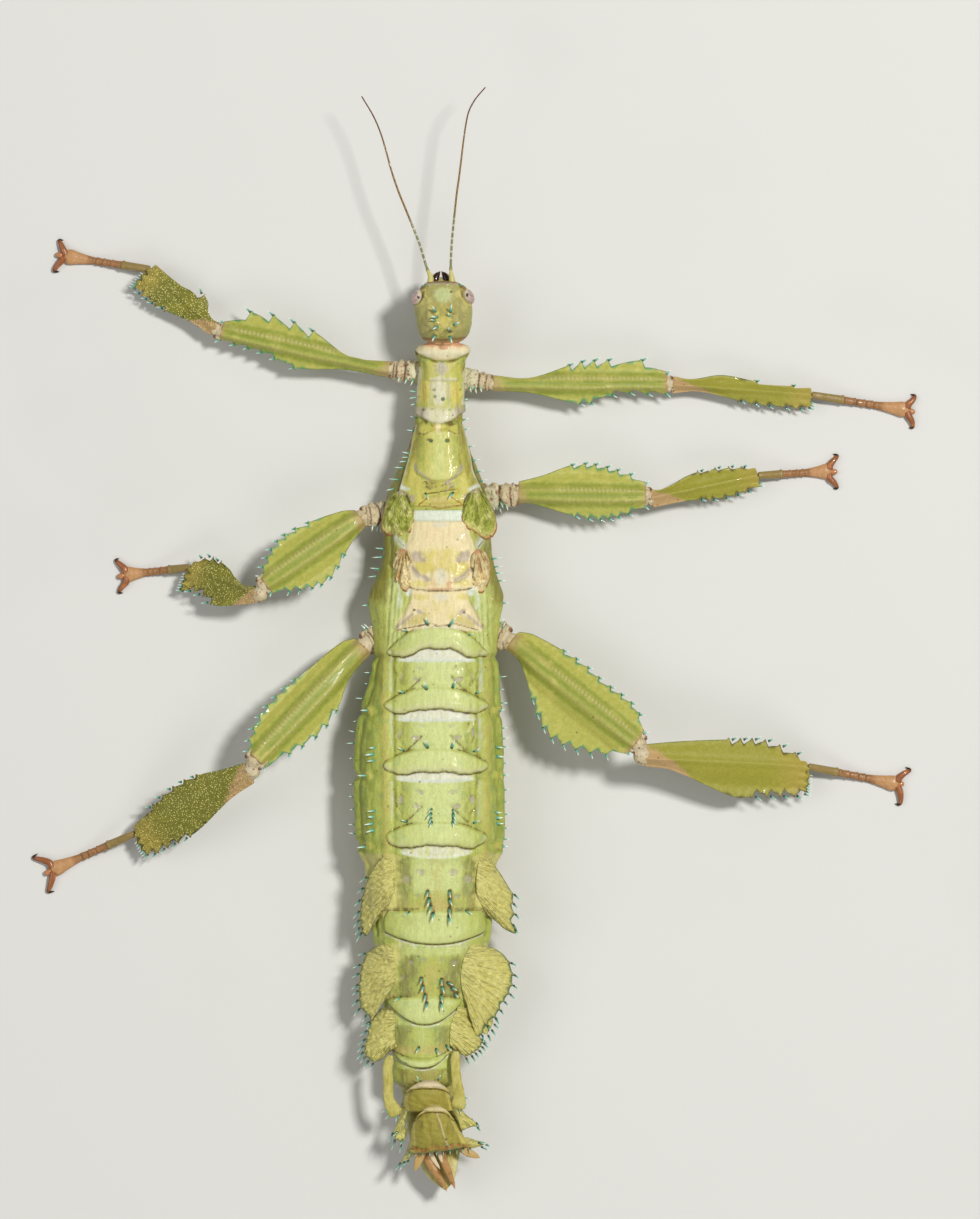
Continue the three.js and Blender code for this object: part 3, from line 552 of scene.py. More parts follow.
# ---- the trunk ----
# Row, left column, right column, heights of the back, of the widest line and of the belly
TRUNK = [
    (345, 422, 465, 10.7, 8.5, 6.2), (352, 415, 470, 11.0, 8.1, 5.3), (361, 419, 465, 10.4, 7.7, 4.7),
    (385, 419, 463, 10.0, 7.2, 3.8), (408, 417, 463, 9.9, 6.9, 3.2), (425, 414, 463, 10.1, 6.7, 2.7),
    (450, 407, 470, 10.5, 6.5, 2.2), (475, 395, 480, 10.9, 6.4, 1.9), (500, 386, 488, 11.2, 6.3, 1.6),
    (560, 382, 493, 11.5, 6.3, 1.0), (592, 371, 501, 11.9, 6.3, 0.7), (650, 374, 497, 12.5, 6.5, 0.1),
    (680, 371, 498, 12.9, 6.6, -0.4), (715, 360, 500, 13.3, 6.6, -0.6), (765, 355, 502, 13.7, 6.6, -0.6),
    (830, 357, 503, 13.9, 6.6, -0.6), (890, 363, 499, 13.6, 6.6, -0.6), (943, 370, 493, 12.9, 6.6, -0.4),
    (980, 376, 484, 12.2, 6.5, 0.2), (1022, 384, 468, 11.2, 6.5, 1.0), (1045, 389, 460, 10.8, 6.6, 1.6),
    (1080, 393, 456, 10.3, 6.8, 2.7),
]
# Roundness of a section: below 1 is squarer than an ellipse.
BACK_POWER, SIDE_POWER, BELLY_POWER = 0.9, 0.85, 0.6


class Skin:
    """Places on a skin seen from above, gathering how far each is raised and how it is marked."""

    def __init__(self, u, v, rise):
        self.u, self.v, self.rise = u, v, rise
        self.up = ramp(0.0, 0.12, rise)
        self.height = np.zeros(np.broadcast(u, v, rise).shape)
        self.marks = {}

    def lift(self, amount):
        self.height += amount * self.up

    def mark(self, name, weight, facing=None):
        layer = self.marks.setdefault(name, np.zeros_like(self.height))
        np.maximum(layer, weight * (self.up if facing is None else facing), out=layer)

    def dress(self, where, lift=0.0, **marks):
        """Raises the skin where a mask is and marks it there, each mark with its own strength."""
        self.lift(lift * where)
        for name, strength in marks.items():
            self.mark(name, strength * where)

    def wipe(self, weight):
        for layer in self.marks.values():
            layer *= 1 - weight * self.up


def section(table, row, angle, pinch=1.0):
    """Points of a lofted body at rows and angles, counted from her right over the back."""
    left, right, top, middle, bottom = np.moveaxis(sample(table, row), -1, 0)
    across, up = power(np.cos(angle), SIDE_POWER), np.sin(angle)
    half = (right - left) / 2 * pinch
    column = (left + right) / 2 + half * across
    rise = np.where(up > 0, (top - middle) * np.abs(up) ** BACK_POWER,
                    -(middle - bottom) * np.abs(up) ** BELLY_POWER)
    points = place(column, row, middle + rise * pinch)
    lean = np.stack(np.broadcast_arrays(np.cos(angle) * (top - middle), 0.0 * column,
                                        up * half * SQUARE), axis=-1)
    lean /= np.linalg.norm(lean, axis=-1)[..., None]
    return points, lean, column, up


def lay(s, table):
    """Lays a table of marks, or of "lift": each row is a strength and a shape, which is column, row,
    half widths and tilt of an oval, or a route of (column, row) points and its half width."""
    for name, rows in table.items():
        for amount, *shape in rows:
            if isinstance(shape[0], list):
                reach = stroke(s.u, s.v, *shape)
            else:
                reach = spot(s.u, s.v, shape[:2], shape[2:4], *shape[4:])
            if name == "lift":
                s.lift(amount * reach)
            else:
                s.mark(name, amount * reach)


def furrow(s, route, deep_by, half, mark_half, **marks):
    """A furrow along a route, or a ridge if it is negative, with marks of their own half width."""
    s.lift(-deep_by * stroke(s.u, s.v, route, half))
    s.dress(stroke(s.u, s.v, route, mark_half), **marks)


def collar(s):
    """The thick cream collar in front of the first ring."""
    rear = 361 - 9 * ((s.u - 443) / 27) ** 2
    inside = 1 - ramp(rear - 1.5, rear + 1.5, s.v)
    s.dress(inside, lift=0.34 * (1 - 0.5 * hill(s.v - 351, 3)), cream=1, pale=0.6 * hill(s.v - 354, 6))
    s.lift(-0.22 * hill(s.v - rear - 2, 1.6))
    s.mark("rose", 0.9 * hill(s.v - 344, 4.2) * window(428, 460, 7, s.u))
    # Painted shadow: an umber band in the groove just behind the collar's rear edge.
    s.mark("umber", 0.7 * hill(s.v - rear - 1.8, 1.5) * (0.35 + 0.65 * hill(np.abs(s.u - 443) - 10, 7)))
    lay(s, COLLAR_MARKS)


COLLAR_MARKS = {
    "umber": [(1, 414.5, 354, 3, 3.6), (1, 469.5, 358, 3, 3.6)],
    "olive": [(0.5, 421, 363, 4.5, 8), (0.5, 463, 366, 3.5, 9)],
    "lift": [(0.25, 417, 344, 3, 2.5), (0.25, 465, 343, 3, 2.5)],
}
FIRST_MARKS = {
    "straw": [(0.6, 431.5, 367, 6, 6), (0.6, 453, 367, 7, 6)],
    "lilac": [
        (0.9, 441.5, 369, 6, 8), (0.5, [(431.7, 384), (430.5, 404)], 1.6),
        (0.5, [(448.5, 384), (448.3, 406)], 1.7), (0.5, [(438.6, 384), (437.5, 403)], 1.3),
    ],
    "pale": [
        (0.75, [(431.7, 380), (455, 380)], 1.8), (0.9, 439.5, 391, 8.5, 17),
        (0.8, [(420.5, 368), (419, 402)], 1.4), (0.7, [(463, 372), (461.5, 404)], 1.4),
        # This last pale spot is a painted highlight on the big teal dot at column 443, row 399.5.
        (0.9, 442.6, 400.6, 1.2, 1.6),
    ],
    "lift": [
        (0.16, [(429, 379), (457, 379)], 2.0), (-0.18, [(428, 383), (457, 383)], 1.5),
        (0.16, 424.5, 391, 8, 13), (0.16, 455.5, 394, 8, 13), (-0.15, 434, 390.5, 1.8, 1.5),
        (-0.15, 443, 399.5, 2, 2),
    ],
    "straw_top": [(1, 424.5, 392, 5.5, 12.5), (1, 455.3, 394, 5.5, 12.5)],
    "teal": [
        (0.6, 434, 390.5, 2.2, 1.8), (0.6, 435, 397, 2.4, 2.0), (0.9, 443, 399.5, 2.2, 2.2),
        (0.7, 424.4, 410, 1.9, 1.5), (0.6, 449.4, 410.3, 1.6, 1.5),
    ],
    "olive": [(0.7, 431.5, 409.3, 1.8, 1.5)],
    "umber": [(0.7, 451.7, 415.6, 1.0, 1.0), (0.5, 460, 390, 1.1, 1.3), (0.5, 420.5, 397, 1.1, 1.3)],
}


def first_ring(s):
    """The squarish plate of the prothorax with its rounded pale rear lobe."""
    sides = np.abs(s.u - 440.5)
    s.dress(window(364, 420, 2, s.v), lift=0.22 * hill(sides - 22, 2.4) - 0.12 * hill(sides - 18, 2),
            straw=0.45, pale=0.3 * hill(sides, 14))
    lay(s, FIRST_MARKS)
    rear = 424.5 - 12 * ((s.u - 439) / 24) ** 2
    s.dress(ramp(400, 414, s.v) * (1 - ramp(rear - 1.2, rear + 0.8, s.v)),
            lift=0.34 * (1 - 0.6 * ramp(rear - 3, rear, s.v)),
            lilac=0.95 * ramp(6, 17, sides), pale=0.75 * (1 - ramp(10, 20, sides)))
    s.lift(-0.3 * window(0.5, 5, 1.2, s.v - rear))
    # Painted shadow: umber just behind the rear lobe, strongest to both sides of the middle.
    s.mark("umber", 0.6 * hill(s.v - rear - 2.4, 2.0) * hill(sides - 12, 8))


# Edges of the second ring's back plate: row, left column, right column
SECOND_PLATE = [(424, 416, 462.5), (438, 413, 466), (455, 409.5, 470), (474, 404.5, 474), (490, 400, 482)]
SECOND_MARKS = {
    "cream": [(0.9, 438.5, 428, 3.2, 7)],
    "umber": [
        # The first two umber spots are painted shadow cast by the first ring's rear lobe.
        (0.7, 450, 424, 6, 3), (0.5, 424.5, 421.5, 4, 2), (0.6, [(419, 433), (426, 435), (432, 431)], 0.9),
        (0.6, [(448, 431), (455, 434.5), (461, 432)], 0.9), (0.9, 429.6, 440.3, 2, 1.8),
        (0.8, [(423, 483), (426, 481.5), (428, 484)], 0.8),
        (0.8, [(430, 482), (433, 484), (436, 483)], 0.8),
        (0.8, [(424, 488), (428, 487), (430, 489.5)], 0.8),
        (0.7, [(433, 488), (437, 487), (439, 489)], 0.8), (0.6, [(442, 486), (446, 484.5)], 0.8),
        (0.6, [(449, 489), (455, 486)], 0.8), (0.85, [(427.7, 494), (436, 493), (454, 490)], 0.9),
        (0.6, 430, 504.8, 0.9, 0.9),
    ],
    "lift": [
        (0.2, 424, 429, 7, 5), (0.2, 454.5, 429, 7, 5), (-0.22, 431, 441, 2.4, 2.2),
        (-0.22, 447, 441, 2.4, 2.2), (0.36, [(425, 496.5), (432, 495.5), (447, 492), (457, 491.5)], 1.8),
        (0.3, [(416, 505), (439, 506), (462, 504)], 2.0),
    ],
    "straw": [(0.8, 424.5, 430, 5, 3.5)],
    "teal": [(1, 431.4, 441.4, 2.2, 1.9), (1, 447, 441, 2.4, 2.2)],
    "lilac": [
        (0.9, [(415.7, 465), (417, 470), (423.5, 475), (430, 481)], 1.6), (0.9, 416.3, 468, 2.2, 3.4),
        (0.9, [(461.5, 466), (459.5, 471), (453, 479), (445, 484)], 1.6), (0.9, 461, 468, 2.2, 3.6),
        (0.8, [(452, 484), (446, 492)], 1.3), (0.9, 411.5, 499, 3.5, 5), (0.9, 465.5, 499, 3, 5),
    ],
    "olive": [(0.55, 431, 486, 11, 6), (0.45, 450, 487, 10, 5)],
    "ochre": [(1, 439.5, 501, 11, 5), (0.8, 440, 505, 17, 3)],
    "rust": [
        (0.9, [(427, 499), (419.5, 505)], 0.8), (0.9, [(451, 497), (461, 503.8)], 0.8),
        (0.7, [(416, 507), (430, 506.5), (439, 509), (462, 505.5)], 0.8),
    ],
    "mint": [(0.8, [(401, 487), (408, 490)], 2.6), (0.8, [(477, 486), (470, 490)], 2.6)],
}


def second_ring(s):
    """The long plate of the mesothorax, its domed middle, its rear ridge and the white band behind."""
    zone = window(426, 506, 2, s.v)
    left, right = np.moveaxis(sample(SECOND_PLATE, np.clip(s.v, 424, 490)), -1, 0)
    inside = ramp(-1.5, 2.0, s.u - left) * ramp(-1.5, 2.0, right - s.u)
    rim = hill(s.u - left, 1.5) + hill(s.u - right, 1.5)
    outline = hill(s.u - left + 2.6, 0.9) + hill(s.u - right - 2.6, 0.9)
    s.dress(zone, lift=0.26 * rim - 0.3 * (1 - inside), straw=0.6 * inside, olive=0.85 * (1 - inside),
            pale=0.8 * np.minimum(rim, 1) * (1 - ramp(488, 496, s.v)), umber=0.8 * np.minimum(outline, 1))
    x = (s.u - 439.5) / (20 + 5 * ramp(430, 480, s.v))
    past = s.v - 482 + 10 * x * x
    dome = window(433, 500, 4, s.v) * (1 - ramp(0.8, 1.08, np.abs(x))) * (1 - ramp(-3, 2, past))
    s.dress(dome, lift=0.34, bright=0.55 * hill(x, 0.6),
            deep=0.6 * hill(np.abs(x) - 0.8, 0.3) * window(438, 468, 8, s.v))
    s.lift(-0.12 * hill(past - 1.5, 1.8) * (np.abs(x) < 1))
    lay(s, SECOND_MARKS)
    band = window(511, 521, 1.2, s.v) * window(411, 464, 4, s.u)
    s.wipe(band)
    s.dress(band, lift=-0.32, mint=1)
    s.mark("olive", 0.6 * hill(s.v - 521.8, 0.8) * window(414, 462, 3, s.u))


THIRD_MARKS = {
    "pale": [(0.8, 440, 525, 9, 3.5), (1, 441, 577, 6, 9), (0.9, 441, 597, 8, 4.5)],
    "straw_top": [
        (0.6, 440, 560, 30, 15), (0.9, 424, 567, 10, 8), (0.9, 459, 569, 11, 9), (0.6, 420, 584, 13, 4),
        (0.6, 463, 583, 13, 4), (0.6, 421, 597, 9, 4), (0.6, 462, 597, 8, 4), (0.5, 424, 617, 10, 6),
        (0.5, 456, 617, 10, 6), (0.3, 440, 606, 26, 12),
    ],
    "rose": [
        (0.22, 440, 534, 22, 10), (0.6, 434, 583, 3.5, 6), (0.6, 448.5, 585, 3.5, 5),
        (0.7, [(430, 588.5), (441, 589.5), (452, 588.5)], 1.6),
    ],
    "lilac": [
        (0.8, 417, 556.5, 7, 6, 0.9), (0.8, 423, 560, 4.5, 3, 0.4), (0.8, 464.5, 556.5, 7, 6, -0.9),
        (0.8, 459, 560, 4.5, 3, -0.4), (0.7, [(410.5, 567), (419, 575.5), (428, 579.5)], 3.2),
        (0.7, [(473, 568), (464, 575.5), (456, 580.5)], 3.2), (0.9, 419.5, 612, 5, 2.2, 0.5),
        (0.9, 462, 612, 5, 2.2, -0.5), (0.8, [(413, 614), (405, 621), (397, 627)], 1.7),
        (0.8, [(466, 614), (474, 620), (482, 628)], 1.7),
    ],
    "lift": [
        (-0.2, 420, 558, 6, 5), (-0.2, 462, 558, 6, 5),
        (-0.22, [(412.5, 569), (420, 577), (428, 580)], 1.8),
        (-0.22, [(471, 570), (464, 577), (456, 581)], 1.8), (0.3, 441, 577, 8, 11),
        (0.2, [(434, 570), (433.5, 584)], 1.3), (0.2, [(446.5, 570), (448, 584)], 1.3),
        (-0.14, [(440, 568), (440.5, 576)], 1.2),
        (-0.16, [(410, 587.5), (425, 591), (457, 591), (472, 588)], 1.5), (-0.12, 419.5, 612, 5, 3),
        (-0.12, 462, 612, 5, 3),
    ],
    "umber": [
        (0.85, [(410, 587.5), (418, 590), (430, 591), (452, 591), (464, 590), (472, 588)], 0.9),
        (0.6, [(397, 539), (404, 546)], 0.7), (0.6, [(483, 541), (478, 548)], 0.7),
        (1, 414.7, 610, 1.5, 1.5), (1, 464.5, 612.5, 1.5, 1.5),
        (0.8, [(397, 630), (423, 625), (431, 623), (437, 626), (450, 625), (453, 623), (478, 630)], 0.8),
    ],
    "mint": [
        (1, 408.5, 592, 3, 5), (1, 471, 592, 3, 5), (0.6, [(397, 538), (403, 545)], 5),
        (0.6, [(482, 539), (477, 546)], 5), (0.8, 427, 628, 4, 2), (0.8, 453, 628, 4, 2),
        (0.6, [(424, 628), (456, 628)], 2.0),
    ],
    "ochre": [(0.7, 415, 620, 13, 6, -0.3), (0.7, 465, 621, 13, 6, 0.3)],
}


def third_ring(s):
    """The broad cream plate of the metathorax between the wing stubs, and the waist behind it."""
    plate = window(522, 589, 2, s.v)
    x = np.abs(s.u - 440) / (29 + 9 * ramp(525, 560, s.v))
    s.mark("cream", plate * (1 - ramp(0.92, 1.05, x)))
    s.lift(0.22 * plate * (1 - ramp(0.75, 1.05, x)))
    waist_half = 29 + 16 * ramp(595, 628, s.v)
    s.mark("cream", window(590, 630, 2, s.v) * (1 - ramp(0.9, 1.04, np.abs(s.u - 440) / waist_half)))
    lay(s, THIRD_MARKS)
    for side, centre in ((-1, 396), (1, 481)):
        s.mark("bright", 0.75 * window(580, 652, 6, s.v) * hill(s.u - centre, 10.5))
        s.mark("mint", 0.5 * hill(s.u - centre + 4 * side, 3.0) * window(586, 606, 8, s.v))
        fold = [(440 + side * 30, 592), (440 + side * 32, 604), (440 + side * 46, 630)]
        furrow(s, fold, 0.3, 2.0, 1.0, umber=0.4)
        for shift in (0, 5, 9, 13):
            crease = [(centre - side * (shift - 5), 585 + shift), (centre - side * (shift - 9), 645)]
            furrow(s, crease, 0.14, 1.2, 1.3, deep=0.5)
        past = side * (s.u - 440) - 50
        s.mark("olive", 0.85 * window(535, 590, 26, s.v) * ramp(-2, 4, past))
        s.lift(-0.35 * hill(past, 2.4) * window(528, 600, 6, s.v))


# Each ring of the abdomen ends in a smooth swollen crescent: its left and right corners, the rows of
# its front edge and of its rear rim at the middle, how pale it is, how far the rim is notched, how
# square the front edge and the rim are, and the row and sag of the line where the next ring starts.
CRESCENTS = [
    ((386, 652), (489, 655), 626, 657, 1.0, 9, (2.6, 9), 661, 0),
    ((384, 704), (488, 704), 686, 713, 1.0, 4.6, (2.5, 9), 719, 1.5),
    ((383, 763), (488, 763), 747, 773.5, 1.0, 2.6, (2.6, 9), 777, 4),
    ((386, 833), (487, 835), 820, 847, 0.6, 3.2, (2.6, 9), 847, 10),
    ((383, 929), (487, 929), 909, 942.5, 0.3, 0, (30, 2.2), 945, 1),
    ((386, 999), (464, 998), 995.5, 1023, 0.2, 0, (6, 2.1), 1024, 1),
    ((389, 1046), (454, 1044), 1058, 1066.5, 0.0, 0, (2.2, 2.4), 1068, 1),
]


def crescent(s, left, right, top, rim_row, pale, notched, square, following, sag):
    """One swollen crescent with its grooves, and the pale membrane behind its rim."""
    x = (2 * s.u - left[0] - right[0]) / (right[0] - left[0])
    side = np.minimum(np.abs(x), 1.0)
    corner = left[1] + (right[1] - left[1]) * (x + 1) / 2
    front = s.v - corner + (corner - top) * (1 - side ** square[0])
    wavy = 0.5 * np.sin(s.u * 0.23 + top) + 0.3 * np.sin(s.u * 0.61 + rim_row)
    notch = notched * (1 - ramp(0.2, 0.7, side)) + wavy * (notched > 0)
    rim = s.v - corner - (rim_row - corner) * (1 - side ** square[1]) + notch
    within = 1 - ramp(0.93, 0.98, np.abs(x))
    swell = ramp(-1, 4, front) * (1 - ramp(-1.6, 0.8, rim)) * within
    s.wipe(swell)
    s.lift(swell * (0.26 + 0.14 * hill(rim + 6, 6)))
    s.mark("swell", swell)
    s.mark("bright", 0.85 * swell * hill(x, 0.8))
    s.mark("sand", pale * swell * (0.12 + 0.4 * ramp(-9, -2, rim)))
    s.mark("mint", 0.22 * swell * hill(side - 0.86, 0.1) * ramp(-12, -4, rim) * (notched > 0))
    s.mark("olive", 0.4 * swell * ramp(0.78, 1.0, side))
    s.mark("umber", 0.75 * hill(front, 1.0) * within * ramp(0.3, 0.5, side))
    s.lift(-0.2 * hill(front, 1.6) * within * ramp(0.25, 0.5, side))
    s.mark("umber", 0.95 * hill(rim - 0.6, 0.95) * within)
    s.mark("umber", 0.6 * hill(np.abs(x) - 0.965, 0.016) * ramp(-1, 1, front) * (1 - ramp(-1, 1, rim)))
    s.mark("lilac", 0.35 * hill(rim + 1.6, 1.0) * within * (notched > 0))
    s.mark("mint", 0.6 * hill(rim - 2.4, 1.0) * within * (notched == 0))
    line = following + sag * (1 - side ** 2)
    valley = ramp(0.2, 1.6, rim) * (1 - ramp(-1.2, 1.2, s.v - line)) * (1 - ramp(0.6, 0.85, side))
    s.dress(valley, lift=-0.3, pale=0.8 * pale, mint=0.45 * pale, bright=0.45 * (1 - pale))
    s.dress(pale * valley, cream=0.5 * (1 - ramp(0.5, 0.75, side)), lilac=0.9 * hill(rim - 1.6, 1.1))
    edge = hill(s.v - line + 0.8, 1.8) * (1 - ramp(0.62, 0.85, side))
    s.dress(edge, lift=0.12, mint=0.95 * pale)


# The side strips of the abdomen: row, middle column of the left and of the right one
STRIPS = [(640, 385, 488), (700, 385.5, 486), (760, 386, 486), (830, 387, 485), (900, 389, 484)]
# Rows where the flanks are drawn in between two rings
WAISTS = (657, 712, 775, 845)
DENTS = [   # column from the midline on each side, row, half sizes, strength
    (21.5, 679, 4.5, 2.6, 0.9), (18, 668, 5, 1.5, 0.5), (36, 676, 2.2, 5, 0.6),
    (20.5, 737, 4.5, 2.8, 0.9), (16, 725, 5, 1.5, 0.6), (37, 733, 2.2, 5.5, 0.7),
    (20, 805, 4.0, 2.6, 0.8), (16.5, 791, 4.5, 2.0, 0.8), (36, 799, 2.6, 5, 0.9),
    (31, 878, 4.5, 5, 0.6), (16.5, 871, 4.5, 3.4, 0.7), (20, 895, 3, 2.4, 0.7),
    (22, 961, 3.4, 2.8, 0.6), (9.5, 958, 3.4, 2.4, 0.5), (28, 975, 3, 4, 0.4),
]


# The back's midline drifts to the left behind: row, column
MIDLINE = [(600, 438.5), (700, 437), (850, 437), (920, 437), (975, 431), (1030, 423), (1080, 423)]


def abdomen(s):
    """The back of the abdomen: side strips, panels, dents, grooves and the crescents."""
    zone = window(652, 908, 4, s.v)
    inset = sum(window(row - 50, row - 14, 5, s.v) for row in (704, 764, 832))
    for centre, side in zip(np.moveaxis(sample(STRIPS, s.v), -1, 0), (-1, 1)):
        off = s.u - centre
        s.dress(zone, lift=0.3 * hill(off, 4.6) - 0.22 * hill(off + side * 7.5, 1.8),
                straw=0.4 * hill(off, 5.2), ochre=0.4 * hill(off, 4.5),
                olive=0.45 * hill(off + side * 8, 2.4), deep=0.5 * ramp(4, 12, side * off))
        # Along the fold where the back's panel is set in: the pale mint line on its lip is a painted
        # highlight, the olive band on the panel side painted shade.
        s.dress(inset, mint=0.4 * hill(off + side * 6.2, 1.7), olive=0.5 * hill(off + side * 9.6, 2.2))
    off = np.abs(s.u - along(MIDLINE, s.v))
    panel = window(660, 1000, 4, s.v) * (1 - ramp(34, 42, off))
    s.dress(panel, lift=-0.12, olive=0.3 * hill(off - 32, 8))
    s.mark("bright", 0.85 * window(660, 884, 18, s.v) * (1 - ramp(14, 38, off)))
    for side in (-1, 1):
        for column, row, wide, tall, strength in DENTS:
            centre = (along(MIDLINE, row) + side * column, row)
            dent = strength * spot(s.u, s.v, centre, (wide, tall), -0.35 * side)
            s.dress(dent, lift=-0.2, lilac=0.9)
            ring = hill(np.hypot((s.u - centre[0]) / wide, (s.v - row) / tall) - 1, 0.22)
            s.mark("umber", 0.4 * ring * strength)
        for row in (686, 745, 815):
            start = along(MIDLINE, row) + side * 14.5
            groove = [(start, row - 10), (start + side * 9, row - 1), (start + side * 17, row + 6)]
            furrow(s, groove, 0.22, 1.6, 1.0, umber=0.75)
            branch = [(start + side * 27, row - 14), (start + side * 20, row - 2)]
            furrow(s, branch, 0.14, 1.4, 1.0, umber=0.5)
    for row in (686, 746, 813):
        s.dress(hill(s.v - row, 1.6) * (1 - ramp(9, 14, off)), lift=0.14, bright=0.5)
    tail_panels(s, off)
    for row in CRESCENTS:
        crescent(s, *row)
    for route, *_ in COMBS:
        if route[0][1] > 880:
            furrow(s, route, -0.35, 1.5, 2.4, rust=0.7)
            s.mark("umber", 0.8 * stroke(s.u, s.v, route, 1.2))
    for side, columns in ((-1, (370, 368, 368)), (1, (496, 499, 498))):
        for column, row in zip(columns, (710, 775, 845)):
            s.lift(0.5 * spot(s.u, s.v, (column, row), (4.5, 4.5)))
            s.mark("straw", spot(s.u, s.v, (column, row), (4.5, 4)))
            s.mark("umber", 0.7 * spot(s.u, s.v, (column + 2.5 * side, row), (1.6, 1.6)))


def tail_panels(s, off):
    """The grainy panels of the fifth to eighth rings, ochre down the middle; off is how far it is."""
    for low, high, wide in ((856, 912, 36), (946, 996, 31), (1010, 1046, 28)):
        ragged = off + 2.0 * np.sin(s.v * 0.31) + 1.2 * np.sin(s.v * 0.83)
        s.mark("lobe", 0.95 * window(low, high, 6, s.v) * ramp(wide - 3, wide + 8, ragged))
    s.dress(window(858, 908, 4, s.v) * (1 - ramp(40, 46, off)),
            ochre=0.5 * (hill(off, 8) + ramp(886, 904, s.v) * 0.8), olive=0.5 * hill(off - 37, 7),
            bright=0.5 * hill(off - 18, 9) * (1 - ramp(868, 892, s.v)), grey=0.7 * hill(off - 33, 8))
    s.mark("umber", 0.55 * hill(s.v - 907.5, 1.1) * window(20, 44, 3, off))
    s.dress(window(947, 994, 3, s.v) * (1 - ramp(32, 38, off)), bright=0.6 * (1 - ramp(950, 962, s.v)),
            ochre=0.55 * ramp(952, 966, s.v) * hill(off, 12),
            olive=0.6 * hill(off - 25, 10) * ramp(948, 958, s.v),
            grey=0.8 * ramp(950, 960, s.v) * hill(off - 22, 10))
    s.dress(window(1025, 1052, 2, s.v) * (1 - ramp(28, 34, off)), bright=0.45 * hill(off, 10),
            grey=0.8 * hill(off - 20, 8), ochre=0.7 * ramp(1038, 1050, s.v))
    past = s.v - 1051 - 8 * (1 - np.minimum(off / 32, 1) ** 2)
    s.dress(off < 32, lift=0.24 * hill(past + 3, 2.2) - 0.2 * hill(past, 1.3), umber=0.6 * hill(past, 0.9))
    s.dress(ramp(1067, 1069, s.v) * (1 - ramp(24, 30, off)), lift=-0.35, olive=0.65, ochre=0.35,
            umber=0.3 * hill(off - 20, 5))


# Rows of the seams between the rings of the belly
BELLY_ROWS = (424, 508, 600, 658, 711, 776, 846, 943, 1023, 1062)


def flanks(s, across):
    """What shows from the side: drawn-in waists, the long fold under each flank, and the belly."""
    out = ramp(0.55, 0.8, np.abs(across))
    low = ramp(-0.25, 0.1, -s.rise)
    flank = out * window(-0.45, 0.75, 0.15, s.rise)
    fold = sum(window(a + 5, b - 6, 4, s.v) for a, b in zip(WAISTS, (*WAISTS[1:], 940)))
    fold = fold * hill(s.rise - 0.4, 0.07) * out
    s.height += flank * (0.2 * window(655, 850, 6, s.v) - 0.5 * sum(hill(s.v - row, 4.5) for row in WAISTS))
    s.height += out * (0.22 * hill(s.rise - 0.22, 0.12) * window(600, 940, 10, s.v)
                       + 0.3 * spot(s.v, s.rise, (598, 0.45), (16, 0.5))) - 0.28 * fold
    s.height -= low * 0.28 * sum(hill(s.v - row, 2.6) for row in BELLY_ROWS)
    s.height -= low * 0.22 * hill(np.abs(across) - 0.62, 0.05) * ramp(600, 640, s.v)
    for name, weight in (
            # The deep green laid in the long fold under each flank is painted shade.
            ("deep", 0.4 * flank * window(655, 860, 6, s.v)), ("deep", 0.7 * fold),
            ("olive", 0.6 * flank * window(430, 560, 50, s.v)), ("straw", 0.55 * low),
            ("umber", 0.35 * low * sum(hill(s.v - row, 1.4) for row in BELLY_ROWS)),
            ("deep", 0.5 * low * hill(np.abs(across) - 0.62, 0.08))):
        s.mark(name, weight, 1.0)


TRUNK_FRONT, TRUNK_REAR = 343.0, 1092.0
CREASE_DEPTH = 0.05


def trunk_surface(row, angle):
    """Points of the finished trunk, their marks and the way they face."""
    front = np.sqrt(1 - 0.75 * np.clip((347 - row) / 4, 0, 1) ** 2)
    rear = 1 - 0.4 * ramp(1080, 1092, row)
    under_lobes = 1 - 0.07 * window(866, 1060, 16, row)
    points, lean, column, up = section(TRUNK, row, angle, front * rear * under_lobes)
    across = power(np.cos(angle), SIDE_POWER) + 0 * row
    s = Skin(column, row + 0 * column, up + 0 * column)
    body = ramp(648, 660, s.v)
    s.mark("straw", 0.25 * (1 - body))
    flanks(s, across)
    collar(s)
    first_ring(s)
    second_ring(s)
    third_ring(s)
    abdomen(s)
    creases = rumple(points * [1.2, 0.7, 1.0], 1.6, 5) * ramp(0.25, 0.6, 1 - s.up * (1 - np.abs(across)))
    s.height += CREASE_DEPTH * creases * (1 - s.marks["swell"])
    points = points + s.height[..., None] * lean
    points[..., 2] = np.maximum(points[..., 2], 0.0)
    return points, s.marks, lean


def on_trunk(column, row):
    """The points of the back under some places of the plan, and the way they face."""
    column, row = np.atleast_1d(column).astype(float), np.atleast_1d(row).astype(float)
    left, right = np.moveaxis(sample(TRUNK, row), -1, 0)[:2]
    share = np.clip((2 * column - left - right) / (right - left), -0.995, 0.995)
    angle = np.arccos(power(share, 1 / SIDE_POWER))
    points, _, lean = trunk_surface(row, angle)
    return points, lean


TRUNK_ROWS, BACK_COLUMNS, BELLY_COLUMNS = 620, 114, 42


def trunk_angles():
    """Angles round the trunk, closest together over the back."""
    t = np.linspace(1, -1, BACK_COLUMNS, endpoint=False)
    back = math.pi / 2 - math.pi / 2 * (0.4 * 2 / math.pi * np.arcsin(t) + 0.6 * t)
    belly = math.pi + np.linspace(0, math.pi, BELLY_COLUMNS, endpoint=False)
    return np.concatenate([back, belly])


def trunk_shell():
    rows = np.linspace(TRUNK_FRONT, TRUNK_REAR, TRUNK_ROWS)[:, None]
    points, marks, _ = trunk_surface(rows, trunk_angles()[None, :])
    return shell(points, marks)


def neck_shell():
    """The soft neck between the head and the collar."""
    rows = np.linspace(337, 350, 14)
    route = place(np.full(14, 443.5), rows, np.linspace(10.2, 8.9, 14))
    radii = 2.1 + 0.16 * np.cos((rows - 343) * 1.1)
    return tube(route, radii, 32, 0.85, {"rose": 1.0, "pale": 0.4})


